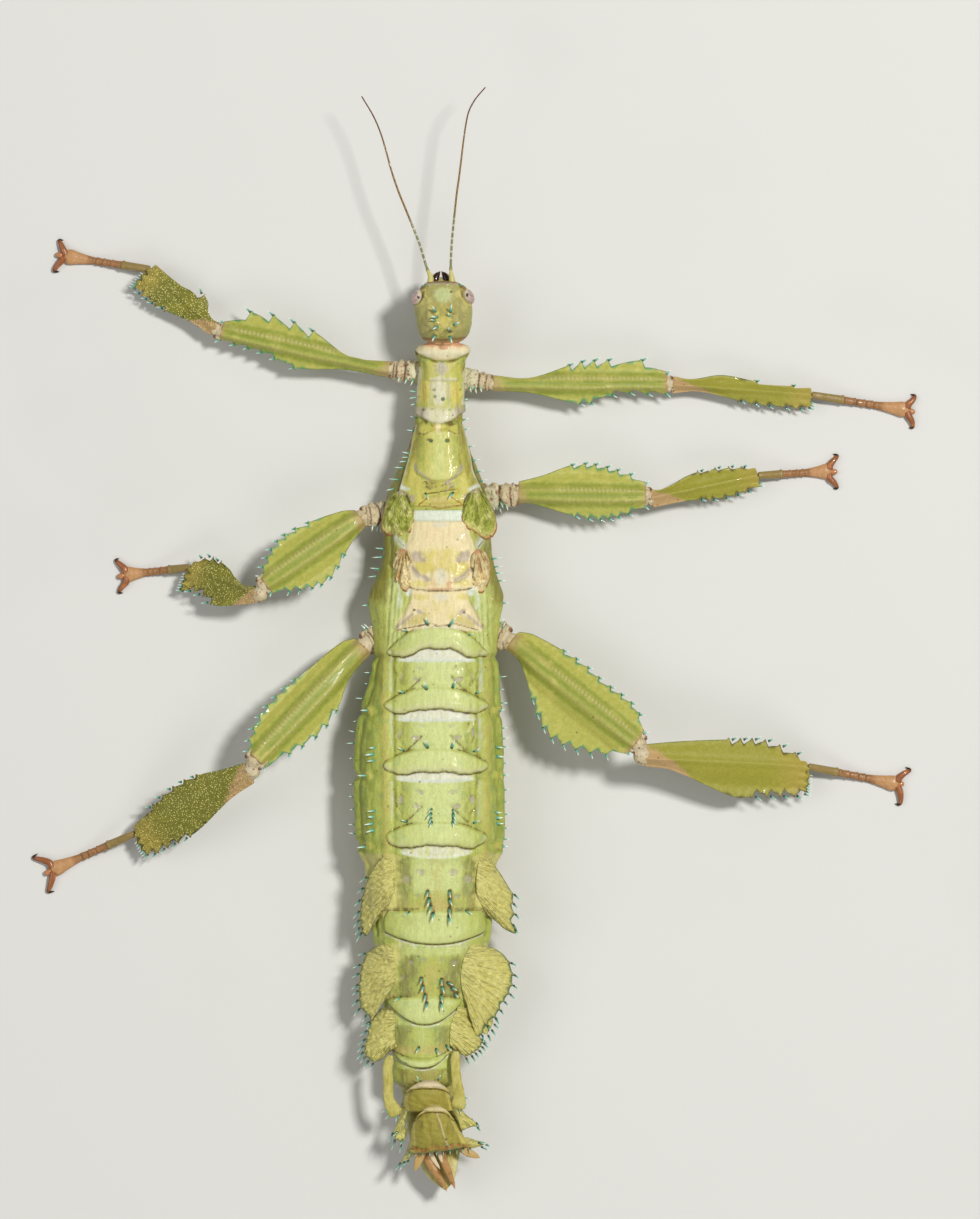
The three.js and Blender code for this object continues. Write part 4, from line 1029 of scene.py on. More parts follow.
# ---- the head ----
HEAD = [
    (284, 424, 461, 12.3, 10.7, 8.6), (290, 420, 467, 12.8, 10.7, 8.0), (307, 415, 472, 13.6, 10.8, 7.4),
    (320, 416, 472, 14.5, 10.9, 7.3), (329, 418, 471, 14.8, 10.9, 7.4), (337, 421, 467, 14.1, 10.6, 7.7),
    (343, 427, 461, 12.7, 9.9, 8.1),
]
HEAD_FRONT, HEAD_REAR = 281.8, 345.0
HEAD_ROWS, HEAD_COLUMNS = 190, 200
EYES = {"left": (417.8, 298.8, 11.0), "right": (468.2, 297.6, 11.0)}
EYE_HALF = (0.82, 1.2, 1.0)
EYE_TILT = 0.5                  # how far each eye's front turns inwards, in radians
# The crown: foot and tip of each thorn, each (column, row), and how high it stands
CROWN = [
    ((436, 313.5), (433, 308), 1.1), ((438, 319.5), (432, 318.5), 0.95),
    ((436.5, 322.5), (430.5, 321.5), 0.5), ((438.3, 328.7), (433, 331.5), 1.0),
    ((436, 337), (432.3, 343.3), 0.8), ((450.4, 314), (452, 306.5), 1.1),
    ((449, 318), (448.5, 315), 0.8), ((453.3, 326.8), (460, 324.3), 0.9), ((448.5, 332), (448.9, 329.5), 1.4),
    ((449.6, 338), (452.6, 345.3), 0.8),
]
BROW_THORNS = [((423, 288), (424.2, 283.5), 0.45), ((461.6, 287.6), (460.4, 283.4), 0.45)]


def seat_eye(points, s, name):
    """Sinks the head under an eye seen from above, and raises a low rim round it."""
    column, row, height = EYES[name]
    side = -1 if name == "left" else 1
    off = points - place(column, row, height)
    c, k = math.cos(EYE_TILT * side), math.sin(EYE_TILT * side)
    reach = np.hypot((off[..., 0] * c + off[..., 1] * k) / EYE_HALF[0],
                     (off[..., 1] * c - off[..., 0] * k) / EYE_HALF[1])
    sunk = off[..., 2] - EYE_HALF[2] * np.sqrt(np.maximum(1 - reach ** 2, 0)) + 0.04
    above = ramp(-0.9, -0.3, off[..., 2])
    inside = 1 - ramp(0.74, 0.93, reach)
    points[..., 2] += above * (0.1 * hill(reach - 1.2, 0.14) - inside * np.maximum(sunk, 0))
    s.mark("straw", 0.8 * above * hill(reach - 1.12, 0.16), 1.0)


HEAD_MARKS = {
    "straw": [(0.7, 443.5, 322, 8, 7), (0.4, 443, 333, 6, 6), (0.35, 443, 310, 14, 9)],
    "lift": [
        (0.16, 443.5, 324, 11, 15), (-0.1, [(443, 302), (443, 336)], 1.3), (0.14, 443, 296, 10, 9),
        (-0.14, [(424, 300), (421.8, 326)], 2.0), (-0.14, [(461.5, 300), (463.5, 326)], 2.0),
        (0.14, [(429.5, 303), (428.5, 326)], 2.6), (0.14, [(457, 303), (458.5, 326)], 2.6),
        (-0.3, 449.6, 333.4, 1.6, 1.5), (0.22, 430.6, 285, 4.2, 3.2), (0.22, 453.2, 285, 4.2, 3.2),
    ],
    "umber": [
        (0.2, [(443, 304), (443, 316)], 1.0), (0.3, [(424, 300), (422, 312), (421.5, 326)], 1.6),
        (0.25, [(427, 305), (426.5, 322)], 1.2), (0.3, [(461.5, 300), (463, 312), (463.5, 326)], 1.6),
        (0.25, [(458.6, 305), (459.5, 322)], 1.2), (0.9, 451.2, 293.4, 1.2, 1.2),
        (0.7, 464.6, 318.4, 0.9, 0.9), (0.9, 449.6, 333.4, 2.0, 1.7),
    ],
    "frons": [(1, 443, 296, 9.5, 8.5)],
    "green": [(0.7, 417.5, 325, 5, 17), (0.7, 469.5, 325, 5, 17), (0.5, 443, 340, 22, 4)],
    "brown": [
        (1, 421.3, 287, 4.6, 5.2, 0.5), (1, 463.6, 287, 4.4, 5.2, -0.5),
        (0.8, [(424, 293), (423.5, 299)], 1.2), (0.8, [(461.5, 292), (462.5, 298)], 1.2),
        (0.9, [(426, 283.5), (442, 282.5), (459, 283.5)], 1.6), (0.6, 443, 284, 7, 2),
    ],
    "lilac": [
        (0.9, [(427.5, 284.5), (430, 286.4), (434, 284.5)], 0.8), (0.8, [(438, 285.5), (446, 285.2)], 0.9),
        (0.9, [(450, 284.5), (453, 286.2), (457, 284.5)], 0.8), (0.8, 435.3, 294.6, 1.3, 1.3),
    ],
    "pale": [(0.6, 437, 286, 1.6, 0.9), (0.6, 448, 286, 1.6, 0.9)],
}


def head_surface(row, angle):
    """Points of the finished head capsule, their marks and the way they face."""
    front = np.sqrt(1 - 0.96 * np.clip((286.5 - row) / 4.7, 0, 1) ** 2.6)
    rear = np.sqrt(1 - 0.9 * np.clip((row - 339.5) / 5.5, 0, 1) ** 2.4)
    points, lean, column, up = section(HEAD, row, angle, front * rear)
    s = Skin(column, row + 0 * column, up + 0 * column)
    s.up = ramp(-0.2, 0.2, s.rise)
    for (u, v), _, high in CROWN:
        side = -1 if u < 443 else 1
        # Each crown thorn stands on a straw mound; the umber spot on its outer side is its painted shadow.
        lay(s, {"lift": [(0.3 * high, u, v, 3.2, 3)], "straw": [(0.9, u - side * 1.2, v + 0.6, 2.8, 2.4)],
                "umber": [(0.4, u + side * 3, v + 1.4, 2.6, 1.2)]})
    lay(s, HEAD_MARKS)
    rim = 341.3 - 3.5 * ((s.u - 443) / 26) ** 2
    s.mark("rust", 0.95 * hill(s.v - rim, 1.0), 1.0)
    s.mark("rose", 0.85 * ramp(1, 2.4, s.v - rim), 1.0)
    jaw = hill(s.rise + 0.35, 0.09) * window(288, 336, 4, s.v)
    s.height -= 0.14 * jaw
    s.mark("umber", 0.4 * jaw, 1.0)
    s.mark("straw", 0.5 * ramp(0.3, 0.7, -s.rise), 1.0)
    s.mark("brown", 0.55 * (1 - ramp(283.5, 287.5, s.v)) * ramp(0.0, 0.5, -s.rise), 1.0)
    s.height += 0.04 * rumple(points, 1.3, 11)
    points = points + s.height[..., None] * lean
    for name in EYES:
        seat_eye(points, s, name)
    return points, s.marks, lean


def on_head(column, row):
    column, row = np.atleast_1d(column).astype(float), np.atleast_1d(row).astype(float)
    left, right = np.moveaxis(sample(HEAD, row), -1, 0)[:2]
    share = np.clip((2 * column - left - right) / (right - left), -0.98, 0.98)
    points, _, lean = head_surface(row, np.arccos(power(share, 1 / SIDE_POWER)))
    return points, lean


def head_shell():
    t = np.linspace(0, 1, HEAD_ROWS)
    eased = t - 0.11 * np.sin(TURN * t)
    rows = (HEAD_FRONT + (HEAD_REAR - HEAD_FRONT) * eased)[:, None]
    angles = (np.arange(HEAD_COLUMNS) / HEAD_COLUMNS * TURN)[None, :]
    points, marks, _ = head_surface(rows, angles)
    return shell(points, marks)


def eye_shell(name):
    """A tilted eyeball; `spot` marks the small dark spot, `rim` its pale border."""
    side = -1 if name == "left" else 1
    polar = np.linspace(0.02, math.pi - 0.02, 60)[:, None]
    turn = (np.arange(80) / 80 * TURN)[None, :]
    x = EYE_HALF[0] * np.sin(polar) * np.cos(turn)
    z = EYE_HALF[2] * np.sin(polar) * np.sin(turn)
    y = EYE_HALF[1] * np.cos(polar) + 0 * turn
    c, s = math.cos(EYE_TILT * side), math.sin(EYE_TILT * side)
    column, row, height = EYES[name]
    points = np.stack([x * c - y * s, x * s + y * c, z], axis=-1) + place(column, row, height)
    top = {"left": (418.8, 298.4), "right": (467.3, 296.4)}[name]
    target = place(*top, height + 0.95 * EYE_HALF[2])
    away = np.linalg.norm((points - target) * [1, 0.75, 0.5], axis=-1)
    inner = (points - place(column, row, height))[..., 0] * -side / EYE_HALF[0]
    return shell(points, {"spot": 1 - ramp(0.14, 0.26, away), "rim": ramp(-0.25, 0.3, inner)})


JAW_HALF = ([0, 0.35, 0.75, 1], [0.5, 0.55, 0.36, 0.06])
JAW_RINGS, PALP_RINGS = 26, 30


def mouth_shells():
    """The lip plate, the dark pair of jaws and the feelers of the mouth under them."""
    lip = place([442, 442, 441.8, 441.5], [286, 283, 280.5, 279], [9.5, 9.0, 8.2, 7.4])
    chin = place(441.5, [290, 286, 282, 279, 277], [7.5, 7.3, 7.1, 7.0, 7.0])
    shells = [tube(lip, [1.5, 1.45, 1.2, 0.6], 28, 0.42, {"lip": 1.0}),
              tube(chin, [1.5, 1.5, 1.3, 0.9, 0.3], 24, 0.5, {"palp": 1.0})]
    t = np.linspace(0, 1, JAW_RINGS)
    beads = 0.26 * (1 - 0.25 * np.abs(np.cos(np.linspace(0, 4, PALP_RINGS) * math.pi)) ** 6)
    beads[-1] = 0.08
    for side in (-1, 1):
        jaw = place(441 + side * np.array([6.0, 5.9, 4.2, 1.9, 0.8]), [285, 281, 276.5, 273.5, 272],
                    [9.0, 9.3, 9.3, 9.1, 9.0])
        shells.append(tube(curve(jaw, JAW_RINGS), np.interp(t, *JAW_HALF), 18, 0.85, {"tip": t}))
        palp = place(441 + side * np.array([6, 8.5, 7.0, 3.5]), [284, 279.5, 275.5, 275],
                     [7.6, 6.9, 6.3, 6.0])
        shells.append(tube(curve(palp, PALP_RINGS), beads, 12, 1.0, {"palp": 1.0}))
    return shells


FEELER_HEIGHT = 11.3
FEELERS = {
    "left": [(430.5, 284), (430.7, 278), (427, 269), (420, 246), (413, 228), (405.7, 210), (398.6, 192.5),
             (392, 173), (386, 151), (380.7, 134), (373.6, 117.5), (362, 98)],
    "right": [(452.4, 284), (451.8, 278), (450.9, 267.5), (451.8, 246), (453.6, 226), (455.4, 208.6),
              (457, 194), (459, 180), (461, 164), (463.4, 144), (466, 126), (469, 113), (475.4, 101),
              (485.5, 89)],
}
# Share of the length and half width: a stout first joint, a bead, then the slim rest
FEELER_HALF = ([0, 0.012, 0.03, 0.05, 0.058, 0.064, 0.072, 0.08, 0.3, 0.6, 1],
               [0.44, 0.46, 0.38, 0.28, 0.2, 0.25, 0.24, 0.18, 0.16, 0.14, 0.09])
FEELER_RINGS = 360
FEELER_JOINTS = 28


def feeler_shell(name):
    """A jointed feeler: a stout first joint, a bead, then many slim joints."""
    route = curve([place(*corner, FEELER_HEIGHT) for corner in FEELERS[name]], FEELER_RINGS)
    share = np.linspace(0, 1, FEELER_RINGS)
    joint = (share - 0.09) / 0.91 * FEELER_JOINTS
    waist = np.abs(np.cos(joint * math.pi)) ** 14 * (share > 0.1)
    radii = np.interp(share, *FEELER_HALF) * (1 - 0.18 * waist)
    radii[-1] = 0.03
    marks = {"share": share, "band": np.clip(waist * 1.3, 0, 1), "foot": 1 - ramp(0.055, 0.075, share)}
    return tube(route, radii, 12, 1.0, marks)


# ---- leafy flaps: wing stubs and lobes ----

FLAP_SIZE = (150, 50)           # points along the root line, and from it to the free edge
FLAP_THICKNESS = 0.34           # mm


def fan(root, edge, height, teeth, tooth, wrinkle, seed, fold):
    """A leafy flap from a root line to its free edge, both routes of (column, row) places.

    height(column, row, out) gives its height, with out running from 0 at the root to 1 at the
    edge. Teeth are shares of the edge where it juts out by `tooth` squares. Returns the shell and
    the points and headings of the teeth, for thorns."""
    count, depth = FLAP_SIZE
    share = np.linspace(0, 1, count)
    start, end = curve(root, count), curve(edge, count)
    heading = end - start
    heading /= np.maximum(np.linalg.norm(heading, axis=1), 1e-6)[:, None]
    jut = np.zeros(count)
    for where in teeth:
        jut = np.maximum(jut, 1 - np.abs(share - where) / 0.016)
    end = end + heading * (tooth * jut)[:, None]
    out = 1 - (1 - np.linspace(0, 1, depth)) ** 1.4
    flat = start[:, None, :] + out[:, None] * (end - start)[:, None, :]
    z = height(flat[..., 0], flat[..., 1], out + 0 * share[:, None])
    top = place(flat[..., 0], flat[..., 1], z)
    crumples = rumple(top[..., :2], 0.75 * fold, seed + 2) + 0.5 * rumple(top[..., :2], 0.35 * fold, seed + 3)
    reach = out * np.linalg.norm(end - start, axis=1)[:, None] * SQUARE
    ray = (share * np.linalg.norm(np.diff(end, axis=0), axis=1).sum() * SQUARE)[:, None] + 0 * reach
    folds = rumple(np.stack([ray, reach * 0.3], axis=-1), fold, seed) + 0.6 * crumples
    top[..., 2] += wrinkle * ramp(0.0, 0.35, out) * folds
    under = top.copy()
    under[..., 2] -= FLAP_THICKNESS * np.sqrt(np.maximum(1 - out ** 4, 0.0)) + 0.07

    def both(above, below=None):
        """A mark of the upper face, carried on round the edge over the lower one."""
        below = above if below is None else below
        return np.concatenate([above + 0 * reach, (below + 0 * reach)[:, ::-1]], axis=1)

    marks = {
        "ray": both(ray), "reach": both(reach), "fold": both(folds), "edge": both(hill(1 - out, 0.12)),
        "line": both(hill(1 - out, 0.05), hill(1 - out, 0.1)), "root": both(hill(out, 0.13)),
    }
    tips = []
    for where in teeth:
        i = int(round(where * (count - 1)))
        tips.append((top[i, -1], np.array([heading[i, 0], -heading[i, 1], -0.25])))
    return shell(np.concatenate([top, under[:, ::-1]], axis=1), marks), tips


def draped(lift, swell, low=0.0):
    """Heights that follow the back, lifted by lift, swollen by swell in the middle."""
    def height(column, row, out):
        left, right = np.moveaxis(sample(TRUNK, row), -1, 0)[:2]
        middle, half = (left + right) / 2, (right - left) / 2
        inner = np.clip(column, middle - 0.86 * half, middle + 0.86 * half)
        points, _ = on_trunk(inner.ravel(), row.ravel())
        z = points[:, 2].reshape(row.shape)
        past = np.abs(column - inner) * SQUARE
        return z + lift + swell * np.sin(math.pi * np.clip(out, 0, 1) ** 0.8) - 0.5 * past - low * out ** 3
    return height


TEGMINA = {
    "left": ([(397, 492), (402, 490.5), (407, 494)],
             [(392, 495), (387, 501), (383, 514), (381, 529), (386, 534), (393, 537), (400, 539), (407, 536),
              (411, 531), (414.5, 519), (413.5, 507), (410, 499)]),
    "right": ([(480, 490), (476, 488.5), (470, 492)],
              [(484, 494), (489, 501), (494.5, 513), (497, 526), (495, 534), (487, 540), (480, 536),
               (470, 530), (463, 523), (462, 511), (464.5, 503), (467, 496)]),
}
STUBS = {
    "left": ([(399, 550), (403, 549), (407, 551)],
             [(395, 553), (393, 563), (394, 574), (397, 583), (402, 591), (409, 590), (411, 582), (408, 573),
              (412, 566), (411, 557)]),
    "right": ([(481, 550), (477, 549.5), (474, 552)],
              [(486, 553), (490, 563), (490.5, 575), (488, 585), (483, 593), (476, 591), (473, 583),
               (475, 573), (470.5, 566), (471, 557)]),
}
# Lobes of the abdomen: root line, free edge, shares of the edge with a thorn, height of the edge
LOBES = {
    "five_left": ([(392, 856), (395.5, 870), (395, 890), (388, 907)],
        [(383, 856), (374, 867), (367, 881), (362, 899), (360.5, 918), (362.5, 931), (366, 936), (371, 928),
         (376, 918), (383, 909)],
        (0.2, 0.3, 0.4, 0.5, 0.57, 0.63, 0.68), 8.0),
    "five_right": ([(480, 855), (477, 872), (477, 892), (484, 908)],
        [(491, 860), (499, 871), (507, 884), (513, 895), (511.5, 905), (514, 914), (511, 921), (516, 933),
         (505, 929), (498, 923), (489, 915)],
        (0.34, 0.42, 0.52, 0.61, 0.66), 8.4),
    "six_left": ([(392, 947), (395, 962), (395, 980), (387, 995)],
        [(382, 943), (370, 950), (363, 962), (360, 978), (359.5, 998), (362, 1008), (368, 1014),
         (371.5, 1020), (375, 1010), (381, 1000)],
        (0.16, 0.27, 0.35, 0.44, 0.5, 0.58, 0.65, 0.73, 0.8), 7.7),
    "six_right": ([(470, 945), (463, 960), (461, 980), (464, 997)],
        [(482, 944), (494, 948), (505, 956), (511, 968), (512, 981), (507, 995), (501, 1003), (497, 1013),
         (487, 1023), (478, 1038), (474, 1028), (471, 1008)],
        (0.22, 0.3, 0.37, 0.43, 0.49, 0.55, 0.61, 0.68, 0.75), 7.8),
    "seven_left": ([(394, 1010), (395, 1022), (395, 1036), (397, 1046)],
        [(381, 1008), (372, 1020), (368, 1034), (365, 1047), (366, 1055), (373, 1061), (380, 1060),
         (386, 1055), (392, 1049)],
        (0.2, 0.3, 0.4, 0.48, 0.56, 0.62, 0.68, 0.74), 7.6),
    "seven_right": ([(458, 1006), (452, 1020), (450, 1032), (450, 1044)],
        [(472, 1008), (474, 1022), (478, 1034), (482, 1041), (479, 1048), (472, 1053), (465, 1056),
         (459, 1052), (453, 1047)],
        (0.42, 0.48, 0.54, 0.6, 0.66, 0.72, 0.8), 7.6),
    "six_end": ([(484, 1012), (482, 1018), (480, 1026)],
        [(490, 1012), (493, 1020), (490, 1029), (486, 1034), (482, 1032)],
        (0.15, 0.4, 0.6, 0.8), 7.4),
    "nine_left": ([(409, 1093), (408, 1104), (406, 1118), (405, 1128)],
        [(404, 1094), (401, 1106), (398, 1120), (394, 1132), (397, 1139), (403, 1142), (406, 1136),
         (408, 1128)],
        (0.55, 0.66, 0.76), 7.6),
    "nine_right": ([(450, 1096), (455, 1102), (457, 1110), (458, 1118)],
        [(455, 1096), (460, 1106), (466, 1114), (477, 1124), (470, 1127), (462, 1130), (459, 1126)],
        (0.45, 0.55, 0.66), 7.7),
    "ten_left": ([(414, 1140), (418, 1144), (424, 1147)],
        [(410, 1140), (406, 1152), (402, 1162), (411, 1157), (421, 1151)],
        (0.5, 0.62), 7.3),
    "ten_right": ([(462, 1137), (460, 1141), (456, 1145)],
        [(467, 1137), (476, 1140), (485, 1143), (477, 1147), (464, 1150)],
        (0.5, 0.62), 7.3),
}


ROOT_SINK, LOBE_SWELL = 0.05, 0.35      # mm
HOOD_LOBE_ROOT = 9.0            # mm, where the lobes of the two hooded rings start


def straight_down(edge_height):
    """Heights that fall evenly from a hooded ring to the free edge."""
    return lambda column, row, out: HOOD_LOBE_ROOT + (edge_height - HOOD_LOBE_ROOT) * out


def sloping(edge_height):
    """Heights that fall from the back's surface at the root to the free edge."""
    def height(column, row, out):
        points, _ = on_trunk(column.ravel(), row.ravel())
        back = points[:, 2].reshape(column.shape)
        start = back[:, :1] - ROOT_SINK
        straight = start + (edge_height - start) * out ** 1.25 + LOBE_SWELL * np.sin(math.pi * out)
        over = back + 0.05 + 0.1 * ramp(0, 0.25, out) + 0.25 * out
        left, right = np.moveaxis(sample(TRUNK, row), -1, 0)[:2]
        past = np.maximum(np.maximum(left - column, column - right), 0) * SQUARE
        return np.maximum(straight, over - 1.1 * past)
    return height


def lobe_shells():
    """All the lobes by name, and where thorns stand on their edges."""
    shells, tips = {}, []
    for index, (name, (root, edge, teeth, low)) in enumerate(LOBES.items()):
        height = straight_down(low) if name.startswith(("nine", "ten")) else sloping(low)
        shells[name], ends = fan(root, edge, height, teeth, 2.2, 0.09, 20 + index, 1.1)
        tips += ends
    return shells, tips


# ---- the end of the tail ----
HOOD_NINE = [
    (1078, 414, 444, 11.0, 8.2, 5.6), (1084, 408, 448, 11.6, 8.1, 5.5), (1095, 404, 451, 11.4, 7.9, 5.4),
    (1112, 406, 454, 10.6, 7.8, 5.4),
]
HOOD_TEN = [
    (1103, 421, 449, 11.9, 9.0, 6.4), (1110, 415, 454, 12.3, 8.8, 6.3), (1122, 412, 458, 12.3, 8.5, 6.2),
    (1138, 411, 465, 11.6, 8.2, 6.1), (1151, 411, 470, 10.4, 8.0, 6.3),
]
PLATE = [
    (1082, 400, 458, 5.0, 4.0, 2.8), (1110, 404, 462, 5.1, 4.1, 2.9), (1140, 410, 462, 5.4, 4.4, 3.2),
    (1163, 419, 458, 5.8, 4.9, 3.8), (1178, 428, 455, 6.0, 5.3, 4.5), (1189, 441, 449, 6.0, 5.6, 5.2),
]


def hood(table, bow, rim_rows, slant, keel):
    """A hooded ring at the tail: its front rim sweeps back by bow rows, its rear edge is slanted."""
    first, last = table[0][0], table[-1][0]
    t = np.linspace(0, 1, 90)
    rows = (first + (last - first) * t ** 1.25)[:, None]
    angles = (np.arange(120) / 120 * TURN)[None, :]
    front = np.sqrt(1 - 0.8 * np.clip(1 - (rows - first) / 2.5, 0, 1) ** 2)
    rear = np.sqrt(1 - 0.8 * np.clip(1 - (last - rows) / 3.0, 0, 1) ** 2)
    points, lean, column, up = section(table, rows, angles, front * rear)
    s = Skin(column, rows + 0 * column, up + 0 * column)
    past = s.v - first
    side = np.abs(np.cos(angles)) ** 3
    rim = hill(past - rim_rows, rim_rows * 0.9)
    s.lift(0.3 * rim - 0.22 * hill(past - rim_rows * 2.6, 2.0))
    crest = 1 - ramp(rim_rows * 1.5, rim_rows * 2.3, past)
    s.mark("pale", (0.55 if keel else 1) * crest * (1 - ramp(0.5, 0.97, np.abs(np.cos(angles)) + 0 * past)))
    s.mark("straw", 0.9 * crest)
    s.mark("umber", 0.8 * hill(past - rim_rows * 2.3, 0.9))
    s.mark("olive", 0.75 * ramp(rim_rows * 2.2, rim_rows * 3.4, past))
    s.mark("straw", 0.9 * ramp(0.74, 0.86, np.abs(np.cos(angles)) + 0 * past))
    if keel:
        line = s.u - 436.5 - (s.v - 1108) * 0.3
        s.lift(0.24 * hill(line, 1.3))
        s.mark("pale", 0.7 * hill(line, 1.1))
        for off in (-13, 14):
            s.lift(-0.14 * hill(line - off, 2.5))
            s.mark("umber", 0.3 * hill(line - off, 2.0) * ramp(1120, 1130, s.v))
        wave = last + 1.4 * np.sin(s.u * 0.3)
        s.lift(0.3 * hill(s.v - wave + 3, 2.2))
        s.mark("rust", 0.8 * hill(s.v - wave + 4.5, 1.6))
        s.mark("umber", 0.5 * hill(s.v - wave + 6.5, 1.6))
        lay(s, {"umber": [(0.8, 446, 1138, 2.2, 1.6), (0.3, 420, 1122, 5, 8), (0.3, 450, 1128, 5, 8)]})
    s.height += 0.05 * rumple(points, 1.2, 31)
    points = points + s.height[..., None] * lean
    points[..., 1] -= bow * side * (1 - t[:, None]) ** 1.5 * SQUARE
    points[..., 1] += slant * (points[..., 0] - points[..., 0].mean()) * t[:, None] ** 3
    return shell(points, s.marks)


# The raised bars on both sides of the eighth ring, each (column, row, height)
BARS = [
    [(391, 1054, 10.4), (388, 1066, 10.5), (388.5, 1082, 10.2), (389, 1098, 9.7), (394, 1109, 9.2),
     (397, 1114, 8.9)],
    [(456, 1050, 10.4), (455.5, 1064, 10.5), (457, 1080, 10.2), (459, 1092, 9.7), (459, 1101, 9.3),
     (457, 1107, 9.0)],
]
BAR_HALF = ([0, 0.1, 0.5, 0.75, 0.95, 1], [0.35, 0.72, 0.7, 0.8, 1.1, 0.8])


def bar_shells():
    """The two bars, each widening to its toothed end."""
    shells = []
    for bar in BARS:
        route = curve([place(*corner) for corner in bar], 60)
        radii = np.interp(np.linspace(0, 1, 60), *BAR_HALF) * (1 + 0.03 * rumple(route, 0.8, 71))
        shells.append(tube(route, radii, 24, 0.4, {"straw": 0.55, "bright": 0.3, "rust": 0.12}))
    return shells


def tail_plate():
    """The boat-shaped plate under the tail: its hollow holds the blades."""
    rows = np.linspace(1080, 1190.5, 110)[:, None]
    angles = (np.arange(96) / 96 * TURN)[None, :]
    close = np.sqrt(1 - 0.9 * np.clip((rows - 1184) / 6.5, 0, 1) ** 2)
    points, _, column, up = section(PLATE, rows, angles, close)
    across = power(np.cos(angles), SIDE_POWER) + 0 * rows
    hollow = ramp(0.1, 0.5, up + 0 * column) * ramp(1140, 1165, rows)
    points[..., 2] -= 0.45 * hollow * (1 - across ** 2)
    keel = ramp(0.3, 0.9, -up) * hill(across, 0.12)
    points[..., 2] -= 0.2 * keel
    marks = {"bright": 0.5 * ramp(0.72, 0.9, np.abs(across)), "pale": 0.35 * hollow,
             "straw": np.maximum(0.6 * keel, 0.8 * hollow)}
    return shell(points, marks)


BLADE_RINGS, BLADE_SIDES = 60, 24


def blade(route, half, thick, *marks):
    """A flat pointed blade along a route of (column, row, height) places."""
    t = np.linspace(0, 1, BLADE_RINGS)
    width = half * np.interp(t, [0, 0.12, 0.5, 0.85, 1], [0.6, 0.95, 1.0, 0.55, 0.06])
    angle = np.arange(BLADE_SIDES) / BLADE_SIDES * TURN
    furrow = 1 - 0.35 * hill(np.abs(np.cos(angle)) - 0.35, 0.12) * (np.sin(angle) > 0)
    points = curve([place(*corner) for corner in route], BLADE_RINGS)
    flat = np.tile(thick / half * furrow, (BLADE_RINGS, 1))
    return tube(points, width, BLADE_SIDES, flat, {mark: 1.0 for mark in marks})




